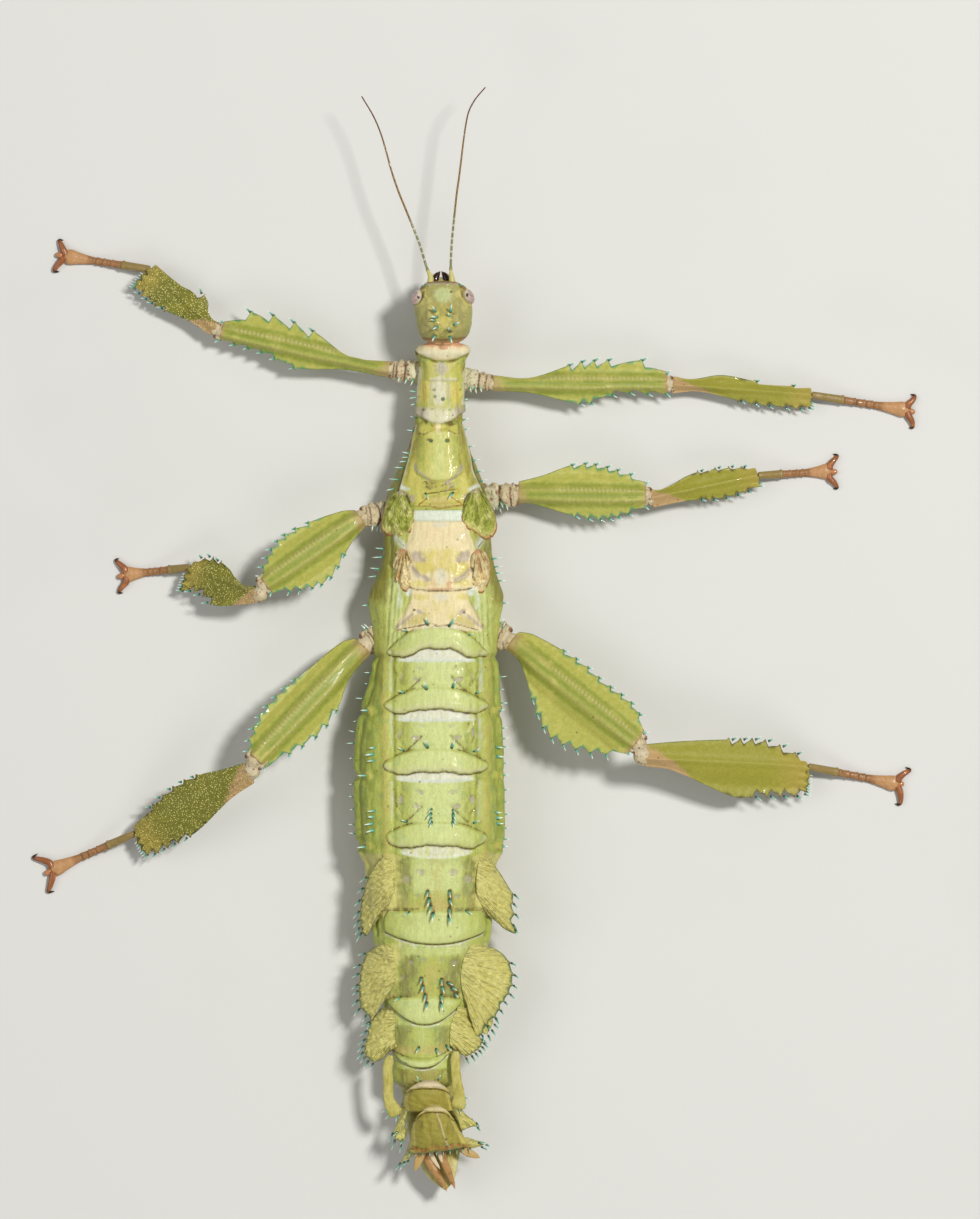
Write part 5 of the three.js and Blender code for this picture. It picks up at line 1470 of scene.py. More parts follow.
# ---- legs ----
# A length of leg runs from its start to its end, both (column, row), at two heights in millimetres.
# front and back give a leaf's half width against the share of its length; teeth are the shares
# where a tooth stands on each side, and bite is how deep the notch behind it is on each side.
Hip = namedtuple("Hip", "start end heights halves")
Leaf = namedtuple("Leaf", "start end heights core front back teeth bite")
Foot = namedtuple("Foot", "toe pad claws")
Leg = namedtuple("Leg", "hip thigh shin foot")
LEGS = {
    "fore_left": Leg(
        Hip((424, 373), (394, 370), (5.6, 5.7), (1.7, 1.3)),
        Leaf((391.5, 369), (219, 330.5), (5.8, 4.2), 1.3,
             [(0, 1.1), (0.25, 0.5), (0.47, 2.8), (0.66, 3.7), (0.84, 3.7), (1, 1.3)],
             [(0, 1.3), (0.25, 1.5), (0.54, 2.8), (0.72, 1.7), (1, 1.3)],
             ((0.48, 0.595, 0.72, 0.85), (0.54, 0.66, 0.74, 0.82, 0.9)), (1.1, 0.35)),
        Leaf((216, 329), (149, 268), (4.1, 2.6), 1.0,
             [(0, 1.0), (0.15, 0.8), (0.37, 2.4), (0.6, 1.3), (1, 1.0)],
             [(0, 1.2), (0.3, 1.7), (0.72, 3.4), (1, 3.6)],
             ((0.39,), (0.6, 0.72, 0.8, 0.9)), (0.9, 0.5)),
        Foot((64, 254.5), (56.5, 253), [[(62, 250), (59, 243), (57, 238.5), (61, 238)],
             [(60, 258), (54, 265), (52, 269), (57, 270)]])),
    "fore_right": Leg(
        Hip((462, 379), (488, 382), (5.6, 5.6), (1.7, 1.2)),
        Leaf((490.5, 383), (669, 383), (5.7, 3.8), 1.2,
             [(0, 1.2), (0.22, 0.8), (0.5, 3.0), (0.66, 3.3), (0.85, 3.3), (1, 1.6)],
             [(0, 1.1), (0.22, 1.4), (0.53, 2.9), (0.72, 1.4), (1, 1.7)],
             ((0.44, 0.51, 0.58, 0.66, 0.85), (0.5, 0.56, 0.68, 0.78, 0.88)), (0.9, 0.45)),
        Leaf((671.5, 384), (813, 394), (3.7, 2.2), 0.9,
             [(0, 1.3), (0.13, 1.0), (0.38, 1.9), (0.65, 1.2), (1, 1.0)],
             [(0, 1.3), (0.2, 0.7), (0.6, 1.9), (0.94, 2.1), (1, 1.9)],
             ((0.6, 0.86), (0.5, 0.6, 0.7, 0.82, 0.92)), (0.3, 0.3)),
        Foot((909, 409), (914, 410.5), [[(911, 403), (915, 399), (917, 395), (913, 393)],
             [(911, 415), (914, 420), (915, 426), (911, 427)]])),
    "mid_left": Leg(
        Hip((396, 512), (365.5, 516), (4.8, 6.7), (1.9, 1.5)),
        Leaf((362.5, 517), (264.5, 584.5), (6.9, 9.2), 1.5,
             [(0, 1.2), (0.12, 2.4), (0.46, 3.9), (0.67, 4.1), (0.82, 3.2), (1, 1.3)],
             [(0, 1.3), (0.2, 2.2), (0.5, 4.6), (0.66, 4.4), (0.85, 2.8), (1, 1.6)],
             ((0.4, 0.52, 0.62, 0.7, 0.78, 0.85, 0.92),
              (0.3, 0.4, 0.5, 0.6, 0.68, 0.77, 0.85)), (0.4, 0.4)),
        Leaf((260, 595), (189.5, 567), (9.0, 3.2), 1.1,
             [(0, 1.5), (0.25, 0.5), (0.55, 1.9), (0.8, 2.4), (1, 1.0)],
             [(0, 1.2), (0.22, 2.3), (0.55, 3.8), (0.8, 3.0), (1, 3.8)],
             ((0.68, 0.8, 0.9), (0.6, 0.74, 0.87)), (0.5, 0.8)),
        Foot((124, 574.5), (118.5, 576), [[(123, 569), (118, 564), (114, 560), (117, 558)],
             [(124, 582), (120, 587), (117, 592), (121, 593)]])),
    "mid_right": Leg(
        Hip((476, 497), (514, 495), (4.8, 5.5), (1.9, 1.6)),
        Leaf((516.5, 494.5), (647, 496), (5.5, 5.2), 1.4,
             [(0, 1.8), (0.2, 2.8), (0.42, 4.3), (0.6, 4.4), (0.86, 3.1), (1, 2.0)],
             [(0, 1.3), (0.12, 1.3), (0.45, 3.0), (0.62, 3.4), (0.78, 3.0), (1, 1.6)],
             ((0.42, 0.52, 0.6, 0.69, 0.77, 0.87), (0.45, 0.55, 0.64, 0.71, 0.78, 0.86)), (0.5, 0.45)),
        Leaf((650, 498), (759, 475), (5.0, 2.6), 1.0,
             [(0, 1.4), (0.12, 0.9), (0.45, 2.2), (0.72, 2.1), (1, 1.2)],
             [(0, 1.4), (0.35, 1.5), (0.66, 2.2), (1, 1.7)],
             ((0.5, 0.66, 0.78, 0.89), (0.45, 0.56, 0.67, 0.78, 0.88)), (0.3, 0.35)),
        Foot((831, 470.5), (836, 471), [[(832, 464), (836, 459), (839, 455), (835, 453)],
             [(832, 478), (836, 482), (839, 487), (835, 488)]])),
    "hind_left": Leg(
        Hip((392, 628), (368.5, 642.5), (5.0, 6.8), (2.2, 1.8)),
        Leaf((365.5, 645), (256, 759.5), (6.9, 11.6), 1.7,
             [(0, 1.6), (0.1, 2.8), (0.4, 3.6), (0.55, 4.1), (0.8, 3.8), (1, 1.8)],
             [(0, 1.4), (0.22, 1.7), (0.42, 3.5), (0.62, 4.0), (0.85, 2.7), (1, 1.8)],
             ((0.46, 0.54, 0.62, 0.7, 0.78, 0.86, 0.93), (0.42, 0.53, 0.63, 0.73, 0.82)), (0.35, 0.5)),
        Leaf((252, 772), (134, 834), (11.0, 3.6), 1.2,
             [(0, 1.6), (0.2, 2.3), (0.45, 3.4), (0.7, 2.9), (1, 0.8)],
             [(0, 1.5), (0.25, 2.0), (0.6, 3.9), (0.85, 3.9), (1, 3.9)],
             ((0.4, 0.5, 0.6, 0.7, 0.8), (0.66, 0.76, 0.85, 0.93)), (0.35, 0.6)),
        Foot((51, 871), (45, 874), [[(47, 864), (39, 861), (31, 859), (35, 855)],
             [(50, 879), (48, 887), (46, 893), (52, 893)]])),
    "hind_right": Leg(
        Hip((480, 630), (505, 638), (5.0, 6.8), (2.3, 1.8)),
        Leaf((508.5, 640.5), (637, 742.5), (7.0, 11.4), 1.7,
             [(0, 1.7), (0.1, 2.9), (0.42, 4.0), (0.6, 3.8), (0.85, 3.8), (1, 1.9)],
             [(0, 1.2), (0.14, 1.5), (0.42, 5.8), (0.57, 7.1), (0.8, 5.4), (1, 2.2)],
             ((0.3, 0.39, 0.48, 0.57, 0.66, 0.74, 0.82, 0.9),
              (0.33, 0.41, 0.49, 0.57, 0.65, 0.73, 0.81, 0.89)), (0.35, 0.65)),
        Leaf((642, 757.5), (809, 767), (10.8, 3.4), 1.2,
             [(0, 1.9), (0.25, 2.7), (0.55, 3.3), (0.76, 3.3), (1, 1.0)],
             [(0, 1.1), (0.2, 1.6), (0.58, 4.9), (0.72, 4.6), (1, 4.2)],
             ((0.53, 0.6, 0.67, 0.75, 0.84, 0.93), (0.69, 0.78, 0.86, 0.94)), (0.7, 0.8)),
        Foot((899, 785), (903, 785), [[(902, 778), (907, 774), (912, 771), (908, 768)],
             [(902, 792), (903, 799), (902, 805), (897, 805)]])),
}
TOOTH_FACE = 0.02               # share of the length that the steep side of a tooth takes
TOOTH_RUN = 0.14                # share over which the last notch heals
LEAF_RINGS, LEAF_TOP, LEAF_UNDER = 250, 46, 26
CORE_SHAPE = [(0, 0.8), (0.1, 0.95), (0.5, 1), (0.9, 0.85), (1, 0.75)]
BEAD_PITCH = 0.62               # mm between the beads along a thigh's ridges
BEAD_SLANT = 0.8                # how much a row of beads slants across the thigh


def side_width(profile, teeth, bite, share):
    """Half width of one side of a leaf with its notches and fine saw teeth."""
    width = along(profile, share)
    depth = np.zeros_like(share)
    for tooth, after in zip(teeth, (*teeth[1:], None)):
        start, stop = tooth + TOOTH_FACE, after or tooth + TOOTH_RUN
        fall = np.clip((share - tooth) / TOOTH_FACE, 0, 1)
        heal = np.clip((share - start) / (stop - start), 0, 1) ** 0.8
        depth = np.where(share > tooth, np.where(share < start, fall, 1 - heal), depth)
        width = width + 0.3 * np.clip(1 - np.abs(share - tooth + 0.004) / 0.012, 0, 1)
    return np.maximum(width - bite * depth, 0.5)


def leg_axis(part):
    """Start, end, heading and forward side of a length of leg, in millimetres."""
    start, end = place(*part.start, part.heights[0]), place(*part.end, part.heights[1])
    ahead = (end - start) * [1, 1, 0]
    ahead /= np.linalg.norm(ahead)
    front = np.array([-ahead[1], ahead[0], 0.0])
    return start, end, ahead, front if front[1] > 0 else -front


def leaf(part, seed, thigh, sugar):
    """A leafy length of leg: a thick ridged core, thin toothed edges."""
    start, end, ahead, front = leg_axis(part)
    length = np.linalg.norm(end - start)
    share = np.linspace(0, 1, LEAF_RINGS)
    run = share[:, None]
    closed = np.sqrt(np.clip(run / 0.02, 0.02, 1)) * np.sqrt(np.clip((1 - run) / 0.012, 0.03, 1))
    top = np.sin(np.linspace(-1, 1, LEAF_TOP) * math.pi / 2)
    q = np.concatenate([top, np.linspace(1, -1, LEAF_UNDER + 2)[1:-1]])[None, :]
    upper = np.arange(LEAF_TOP + LEAF_UNDER)[None, :] < LEAF_TOP
    edges = (part.front, part.back)
    width = np.where(q > 0, *(side_width(*side, run) for side in zip(edges, part.teeth, part.bite))) * closed
    calm = np.where(q > 0, *(along(side, run) for side in edges)) * closed
    core = part.core * along(CORE_SHAPE, run) * closed
    across = q * width
    off = np.abs(across)
    bell = (1 - np.minimum(off / np.clip(calm, 0.2, 3.2), 1) ** 1.5) ** 1.2
    edge = 0.1 * closed
    span = 0.3 + 0.36 * core
    ridge = hill(off - span, 0.34)
    groove = np.maximum(hill(across, 0.3), 0.7 * hill(off - span - 0.75, 0.4))
    middle = window(0.38, 0.86, 0.12, run) * np.where(across > 0, 1.0, 0.4)
    if thigh:
        beads = 0.05 * np.cos(run * length * TURN / BEAD_PITCH + BEAD_SLANT * across) * ridge * middle
        relief = 0.22 * ridge + beads - 0.16 * groove
    else:
        relief = 0.12 * hill(across, 0.3) - 0.06 * hill(off - 0.7, 0.3)
    z = edge + (core - edge) * bell + np.where(upper, relief, 0.0) * closed
    curl = 0.12 * ramp(0.75, 1, off / np.maximum(calm, 0.2)) * closed
    z = np.where(upper, z, -0.85 * z) + curl
    points = (start + run * (end - start))[:, None, :] + across[..., None] * front
    points[..., 2] += z
    jag = np.abs(np.mod(across * 0.9 + 0.3, 1.0) - 0.5) * 2 * ramp(0.9, 1, run)
    slip = 0.0 if thigh else 0.9
    points += (slip * (jag - 0.4) * ramp(1.2, 2.0, width))[..., None] * ahead
    wave = rumple(np.stack(np.broadcast_arrays(run * length, across), axis=-1), 1.5, seed)
    points[..., 2] += 0.025 * wave * ramp(0.2, 0.7, np.abs(q)) * closed
    points[..., 2] = np.maximum(points[..., 2], 0.02)
    tooth_near = np.max([hill(run - tooth - 0.012, 0.03) for teeth in part.teeth for tooth in teeth], axis=0)
    rim = width - off
    stem_end, stem_slant, stem_soft = (0.06, 0.03, 0.07) if thigh else (0.17, 0.14, 0.06)
    stem = 1 - ramp(-stem_soft, stem_soft, run - stem_end + stem_slant * q)
    if thigh:
        stem = np.maximum(stem, 0.95 * ramp(0.95, 1.0, run))
    ridged = ramp(0.02, 0.12, run) * (1 - ramp(0.93, 1.0, run)) * upper
    return shell(points, {
        "ridge": ridge * ridged, "groove": groove * ridged, "bead": ridge * middle * upper,
        "margin": hill(rim, 0.12) * ramp(0.8, 1.6, width),
        "tooth": hill(rim, 0.4) * tooth_near * ramp(1.0, 1.8, width),
        "sugar": sugar, "end": ramp(0.72, 1, run), "stem": stem, "leafy": ramp(0.9, 2.2, off),
        "along": run * length, "across": across,
    })


def leaf_thorns(part, thigh):
    """Thorns on the teeth of a leaf and along its far end."""
    start, end, ahead, front = leg_axis(part)
    thorns = []
    light = 0.12 if thigh else 0.0
    for side, profile, teeth, bite in zip((front, -front), (part.front, part.back), part.teeth, part.bite):
        reach = 0.72 + 0.5 * bite
        for share in teeth:
            width = float(side_width(profile, teeth, bite, np.array([share]))[0])
            foot = start + share * (end - start) + (width - 0.24) * side + np.array([0, 0, 0.08])
            thorns.append(thorn(foot, foot + reach * (0.9 * ahead + 0.5 * side), 0.19, 0.08, light))
        if thigh:
            foot = end - 0.5 * ahead + 0.75 * profile[-1][1] * side
            thorns.append(thorn(foot, foot + 0.9 * ahead + 0.8 * side, 0.26, 0.05))
    if not thigh:
        for across in np.arange(1.0, part.back[-1][1], 0.42):
            foot = end - 0.35 * ahead - across * front
            thorns.append(thorn(foot, foot + 1.15 * ahead - 0.35 * front, 0.17, 0.05, light))
    return thorns


HIP_RINGS, HIP_SIDES = 60, 36


def hip(part, seed):
    """The lumpy hip with the narrow second joint before the thigh."""
    start, end = leg_axis(part)[:2]
    share = np.linspace(0, 1.02, HIP_RINGS)
    first, last = part.halves
    radii = first + (last - first) * share
    radii = radii * (1 + 0.1 * hill(share - 0.48, 0.12) - 0.2 * hill(share - 0.64, 0.05)
                     + 0.1 * hill(share - 0.8, 0.08) - 0.1 * hill(share - 0.93, 0.03))
    radii[-1] *= 0.6
    angle = np.arange(HIP_SIDES) / HIP_SIDES * TURN
    ring = np.broadcast_arrays(share[:, None] * 4, 1.4 * np.cos(angle), 1.4 * np.sin(angle))
    ring = np.stack(ring, axis=-1)
    radii = radii[:, None] * (1 + 0.09 * rumple(ring, 1.1, seed) + 0.03 * rumple(ring, 0.5, seed + 1))
    seams = hill(share - 0.64, 0.03) + hill(share - 0.93, 0.02)
    marks = {"seam": seams, "outer": ramp(0.55, 0.75, share)}
    return tube(start + share[:, None] * (end - start), radii, HIP_SIDES, 0.9, marks)


def hip_thorns(part, count, seed):
    start, end, ahead, front = leg_axis(part)
    draw = np.random.default_rng(seed)
    side = -front if part.start[1] < 600 else front
    thorns = []
    for k in range(count):
        share = 0.25 + 0.6 * (k + draw.uniform(0.2, 0.8)) / count
        half = part.halves[0] * (1 - share) + part.halves[1] * share
        lean = draw.uniform(0.1, 0.9)
        out = side * math.cos(lean) + np.array([0, 0, math.sin(lean)])
        foot = start + share * (end - start) + 0.85 * half * out
        thorns.append(thorn(foot, foot + (out + 0.25 * ahead) * draw.uniform(1.0, 1.4), 0.17, 0.1, 0.4))
    return thorns


# A knee's cheeks: mm ahead of the joint, and how far out as a share of its half width
CHEEK = ((-1.9, 0.75), (-0.5, 0.95), (0.75, 1.05))


def knee(before, after, half):
    """The pale soft joint between two lengths of leg, with its two hard cheeks."""
    _, start, ahead, front = leg_axis(before)
    end = place(*after.start, after.heights[0])
    gap = (end - start) / max(np.linalg.norm(end - start), 1e-6)
    t = np.linspace(-1, 1, 24)
    radii = half * np.sqrt(1 - 0.9 * t ** 4) * (1 - 0.1 * np.cos(t * 7))
    route = curve([start - 1.1 * gap, start, end, end + 1.1 * gap], len(t))
    shells = [tube(route, radii, 28, 0.8, {"soft": hill(t, 0.35), "outer": 1.0})]
    t = np.linspace(0, 1, 18)
    radii = 0.46 * half * np.sqrt(1 - 0.96 * np.abs(2 * t - 1) ** 3)
    marks = {"outer": 1.0, "seam": ramp(0.7, 0.95, t)}
    for across in (-front, front):
        cheek = [start + reach * ahead + out * half * across for reach, out in CHEEK]
        shells.append(tube(curve(cheek, len(t)), radii, 16, 0.9, marks))
    return shells


# Foot: share of its length, half width, thickness, height of the sole as a share of the ankle's
TARSUS_SHAPE = [
    (0.0, 0.52, 0.85, 1), (0.05, 0.55, 0.85, 0.95), (0.28, 0.62, 0.95, 0.48), (0.33, 0.64, 0.95, 0.4),
    (0.38, 0.55, 0.85, 0.33), (0.62, 0.56, 0.85, 0.05), (0.7, 0.6, 0.88, 0), (0.86, 0.92, 1.0, 0),
    (0.96, 1.16, 1.05, 0), (1.02, 0.8, 0.8, 0),
]
FOOT_JOINTS = (0.34, 0.47, 0.57, 0.65)
FOOT_RINGS = 150


def tarsus(ankle, height, toe):
    """The five-jointed foot: each joint swells to its far end over a dark gap."""
    start, end = place(*ankle, 0.0), place(*toe, 0.0)
    share = np.linspace(0, 1.02, FOOT_RINGS)
    half, thick, lift = np.moveaxis(sample(TARSUS_SHAPE, share), -1, 0)
    seams = sum(hill(share - joint, 0.009) for joint in FOOT_JOINTS)
    flare = sum(hill(share - joint + 0.016, 0.014) for joint in FOOT_JOINTS)
    half = half * (0.96 + 0.16 * flare - 0.22 * seams)
    thick = thick * (0.97 + 0.1 * flare - 0.2 * seams)
    half[0] *= 0.6
    half[-1] *= 0.5
    route = start + np.minimum(share, 1.01)[:, None] * (end - start)
    route[:, 2] = np.maximum((height - 0.4) * lift, 0) + thick / 2
    marks = {"seam": np.clip(seams, 0, 1), "first": 1 - ramp(0.28, 0.4, share),
             "last": ramp(0.68, 0.82, share)}
    return tube(route, half, 22, thick / 2 / half, marks, floor=0.0)


CLAW_HEIGHTS = (0.62, 0.62, 0.6, 0.42, 0.16)    # mm, from the root of a claw to its tip
CLAW_SHAPE = ([0, 0.25, 0.6, 0.85, 1], [0.5, 0.5, 0.37, 0.2, 0.03])
PAD_HEIGHTS = (0.6, 0.62, 0.62, 0.58, 0.5)


def claw_shells(foot):
    """Two hooked claws with the soft pad between them."""
    shells = []
    toe, pad = np.asarray(foot.toe, float), np.asarray(foot.pad, float)
    for hook in foot.claws:
        corners = [(toe * 2 + hook[0]) / 3, *hook]
        route = curve([place(*corner, z) for corner, z in zip(corners, CLAW_HEIGHTS)], 40)
        t = np.linspace(0, 1, 40)
        marks = {"tip": ramp(0.62, 0.85, t)}
        shells.append(tube(route, np.interp(t, *CLAW_SHAPE), 16, 0.9, marks, floor=0.0))
    heading = (pad - toe) / np.linalg.norm(pad - toe)
    corners = [pad + heading * k for k in (-4.5, -2.5, 0, 2.2, 3.2)]
    route = curve([place(*corner, z) for corner, z in zip(corners, PAD_HEIGHTS)], 24)
    radii = 0.4 * np.sqrt(1 - 0.96 * np.abs(np.linspace(-1, 1, 24)) ** 3)
    shells.append(tube(route, radii, 24, 0.62, {"pad": 1.0}, floor=0.0))
    return shells




# ---- the spines of the trunk and the tail ----
# How far the tip stands above the foot and the foot's radius (mm): column and row of foot and tip
TRUNK_SPINES = {
    (0.1, 0.14): [
        (417.5, 392, 409, 391), (417.5, 397, 409, 398.5), (417.5, 403, 410.5, 405.5),
        (462.5, 400, 468.5, 399), (462.5, 405.5, 468, 406.5), (405.5, 461.5, 399, 462),
        (396, 480, 389, 479), (392, 489, 386, 490.5), (464.5, 430, 470.5, 428), (479, 472, 486, 470.5),
        (499, 581, 506.5, 580),
    ],
    (0.1, 0.13): [
        (415, 418, 410, 416.5), (407.5, 457.5, 401.5, 457.5), (464, 420, 469, 418), (482, 481, 488, 479.5),
        (375.5, 576, 368, 577), (496, 567, 503.5, 566), (497, 573, 504, 573),
    ],
    (0.1, 0.15): [
        (413, 431, 406.5, 430), (408.5, 454, 402, 452), (401, 468, 394.5, 467.5), (469, 447, 475.5, 445.5),
        (474, 461, 481, 459), (383, 549, 375, 548), (380.5, 557, 372, 557.5), (377.5, 569, 369.5, 568),
        (494.5, 559, 503, 557.5),
    ],
    (0.45, 0.2): [(425.5, 493.5, 429, 500), (453, 492.5, 448.5, 499.5)],
    (0.1, 0.16): [(370.5, 605, 362, 605.5), (501.5, 603, 509.5, 603)],
    (0.75, 0.24): [(428, 625, 426, 616.5), (449, 626.5, 457, 616.5)],
    (0.5, 0.17): [
        (407, 631.5, 403, 629), (469, 635.5, 473.5, 633), (398, 996, 394, 1000), (448, 1044, 452, 1050),
    ],
    (0.85, 0.25): [
        (427, 689, 425, 681.5), (453, 687.5, 456.5, 680), (428, 747, 426, 739), (452, 747.5, 455, 740),
    ],
    (0.55, 0.18): [
        (404.5, 693, 399, 690), (476, 693, 482, 690), (404, 750, 398.5, 747), (474, 751, 480, 748),
        (407, 821, 401.5, 818.5), (474, 822, 480, 819.5), (408, 910.5, 404, 914), (469, 909.5, 473, 913),
    ],
    (0.6, 0.2): [(419, 1045.5, 416, 1052), (437, 1047.5, 439.5, 1054)],
    (0.3, 0.2): [
        (369.5, 710, 360.5, 710), (497, 710, 505, 709.5), (367, 775, 357.5, 775), (500.5, 775, 509, 774.5),
        (366.5, 846, 357, 847), (500, 846, 508.5, 846),
    ],
}
# Combs of the back: foot places along a line, (column, row) from front to rear, how many
# thorns stand on each, how they lean (columns, rows), and how high they are (mm).
COMBS = [
    ([(432, 808), (431.5, 814), (432, 821)], 4, (-2.5, 5), 0.85),
    ([(453, 809), (453.5, 815), (453, 821)], 4, (2.5, 5), 0.85),
    ([(428, 889), (430, 898), (432.5, 907), (433.5, 911)], 4, (-0.6, 9), 0.8),
    ([(451, 889), (451, 901), (450.5, 910), (450, 914)], 4, (0.6, 10), 0.8),
    ([(421.5, 976), (423.5, 986), (426, 995), (427, 1001)], 4, (-0.5, 8), 0.8),
    ([(442.5, 977), (443, 986), (442, 996), (441.5, 1001)], 4, (0.5, 8), 0.8),
    ([(449, 981), (454, 987), (457, 992)], 3, (3.5, 3), 0.7),
    ([(376, 747), (374.5, 753), (375, 760)], 3, (-8.5, 1), 0.3), ([(496, 747), (497, 756)], 2, (8, 0.5), 0.3),
    ([(376, 810), (374, 819), (375, 829)], 4, (-8.5, 1), 0.3), ([(495, 812), (496.5, 823)], 3, (8, 0.5), 0.3),
]
FLANK_ROWS = (672, 684, 698, 722, 733, 742, 757, 784, 796, 808, 823, 834)
# Column, row, height of the foot; column, row, height of the tip
TAIL_SPINES = [
    ((421, 1080, 10.9), (416.5, 1074.5, 11.4)), ((438, 1078.5, 11.1), (441, 1073, 11.6)),
    ((398, 1131, 8.0), (393, 1136, 8.1)), ((403, 1139, 7.9), (400, 1145, 8.0)),
    ((409, 1160, 7.6), (402, 1166, 7.4)), ((478, 1142, 7.8), (487, 1144, 7.7)),
    ((390, 1108, 9.2), (381, 1112, 9.0)), ((392, 1111, 9.0), (385, 1119, 8.8)),
    ((397, 1112, 8.9), (396, 1122, 8.7)), ((462, 1096, 9.4), (471, 1098, 9.3)),
    ((461, 1101, 9.3), (469, 1106, 9.1)), ((458, 1105, 9.1), (461, 1114, 8.9)),
]
TAIL_ROW = (410, 470, 10)       # columns and number of the spines along the tail's end


def thorn_on(foot, lean, tip_column, tip_row, rise, radius):
    """A thorn from a foot on the skin to a tip over a place of the plan."""
    tip = place(tip_column, tip_row, foot[2] + rise)
    return thorn(foot - 0.12 * lean, tip, radius, 0.12, 0.3 if rise < 0.4 else 0.05)


def trunk_thorns():
    thorns = []
    for (rise, radius), rows in TRUNK_SPINES.items():
        for foot, lean, (*_, column, row) in zip(*on_trunk(*np.transpose(rows)[:2]), rows):
            thorns.append(thorn_on(foot, lean, column, row, rise, radius))
    draw = np.random.default_rng(8)
    for route, count, (across, back), high in COMBS:
        places = curve(route, count)
        feet, leans = on_trunk(places[:, 0], places[:, 1])
        for k, (foot, lean, (column, row)) in enumerate(zip(feet, leans, places)):
            reach = draw.uniform(0.75, 1.15)
            tip = (column + reach * across + draw.normal(0, 0.7), row + reach * back + draw.normal(0, 0.7))
            thorns.append(thorn_on(foot, lean, *tip, reach * high, 0.2 + 0.05 * (k % 2)))
    for row in FLANK_ROWS:
        for side in (-1, 1):
            where = row + 5 * (side > 0) + draw.uniform(-1.5, 1.5)
            edge = sample(TRUNK, where)[0 if side < 0 else 1] - side * 0.3
            foot, lean = (value[0] for value in on_trunk(edge, where))
            reach = draw.uniform(6, 10)
            thorns.append(thorn_on(foot, lean, edge + side * reach, where + draw.normal(0, 1), 0.12, 0.13))
    return thorns


def crown_thorns():
    thorns = []
    for foot, tip, high in CROWN + BROW_THORNS:
        (root,), (lean,) = on_head(*foot)
        radius = 0.24 if high > 0.7 else 0.15
        thorns.append(thorn(root - 0.1 * lean, place(*tip, root[2] + high), radius, 0.12, 0.15))
    return thorns


def tail_thorns():
    thorns = [thorn(place(*foot), place(*tip), 0.15) for foot, tip in TAIL_SPINES]
    low, high, count = TAIL_ROW
    for k, column in enumerate(np.linspace(low, high, count)):
        row = 1150.5 - 4 * (column - low) / (high - low)
        foot = place(column, row, 9.6 - 0.9 * abs(2 * k / (count - 1) - 1))
        thorns.append(thorn(foot, foot + np.array([0.1 * (k - 4.5) / 4.5, -0.85, -0.25]), 0.13))
    return thorns


# ---- materials ----

def cuticle(name, colours, layers, size=1.6, roughness=0.5, coat=0.05, grain=0.35, depth=0.05):
    """Skin of two blotched colours, marks laid over, streaks and a fine grain, with the grain's height."""
    skin = Coat(name, roughness, coat)
    skin.blotch(*colours, size)
    skin.lay(layers, skin.stretched(1.5, 0.45))
    skin.shade(0.4, 0.5, skin.stretched(1.0, 0.22))
    skin.shade(0.35, grain)
    return skin, (skin.height(GRAIN, Size=grain), depth)


def trunk_skin():
    """The yellow-green back: grainy panels, smooth crescents with fine pits, pale membranes."""
    # Besides the skin's own colours, some umber, olive and deep marks are painted shadow and shade, and some
    # pale and mint marks painted highlights, as noted where they are laid.
    skin, (fine, depth) = cuticle("trunk_cuticle", (LEAF_GREEN, SAGE), [
        ("straw", STRAW, 0.85, 0.6), ("bright", BRIGHT, 0.8, 0.3), ("deep", DEEP_GREEN, 0.8, 0.7),
        ("olive", OLIVE, 0.75, 0.8), ("grey", GREY_GREEN, 0.7, 0.9), ("lobe", LOBE_OCHRE, 0.85, 0.7),
        ("cream", CREAM, 0.92, 0.6), ("ochre", OCHRE, 0.85, 0.8), ("straw_top", STRAW, 0.9, 0.7),
        ("sand", SAND, 0.8, 0.4), ("lilac", LILAC, 0.8, 0.8), ("pale", PALE, 0.9, 0.7),
        ("mint", MINT, 0.9, 0.6), ("rose", ROSE, 0.75, 0.8), ("teal", TEAL, 0.85, 0.4),
        ("rust", RUST, 0.85, 0.6), ("umber", UMBER, 0.85, 0.8),
    ])
    nodes = skin.nodes
    pits = {"Spacing": 1.9, "Width": 0.13}
    skin.over(UMBER, nodes.times(skin.mask(PITS, **pits), 0.5))
    smooth = nodes.math("MAXIMUM", nodes.mark("swell"), nodes.times(nodes.mark("cream"), 0.85))
    rough = nodes.rest(nodes.times(smooth, 0.8))
    creases = nodes.noise(skin.stretched(1.0, 0.3), 0.7)
    return skin.done((nodes.times(fine, rough), depth),
                     (nodes.times(skin.height(GRANULES, Spacing=0.45), rough), 0.03), (creases, 0.12),
                     (skin.height(PITS, **pits), 0.02))


def lumpy_cuticle(name, colours, layers, lumps=0.03, **settings):
    """A cuticle whose grain is broken by low round lumps."""
    skin, fine = cuticle(name, colours, layers, **settings)
    return skin.done(fine, (skin.height(GRANULES, Spacing=0.55), lumps))


def head_skin():
    # The umber layer also carries the painted shadows beside the crown's thorns.
    return lumpy_cuticle("head_cuticle", (HEAD_OLIVE, HEAD_STRAW), [
        ("green", HEAD_GREEN, 0.8, 0.7), ("straw", STRAW, 0.75, 0.8), ("frons", FRONS, 0.8, 0.6),
        ("brown", HEAD_BROWN, 0.85, 0.7), ("pale", PALE, 0.9, 0.4), ("lilac", LILAC, 0.85, 0.5),
        ("rose", ROSE, 0.8, 0.5), ("rust", RUST, 0.85, 0.5), ("umber", UMBER, 0.85, 0.6),
    ], 0.02, roughness=0.46, coat=0.1, grain=0.3, depth=0.03)


def tail_skin():
    return lumpy_cuticle("tail_cuticle", (OLIVE_LEAF, OCHRE_LEAF), [
        ("olive", OLIVE_LEAF, 0.85, 0.7), ("straw", STRAW, 0.8, 0.6), ("bright", BRIGHT, 0.8, 0.5),
        ("ochre", CERCUS_TAN, 0.8, 0.6), ("pale", PINK_CREAM, 0.92, 0.5), ("rust", RUST, 0.8, 0.8),
        ("umber", UMBER, 0.8, 0.8),
    ])


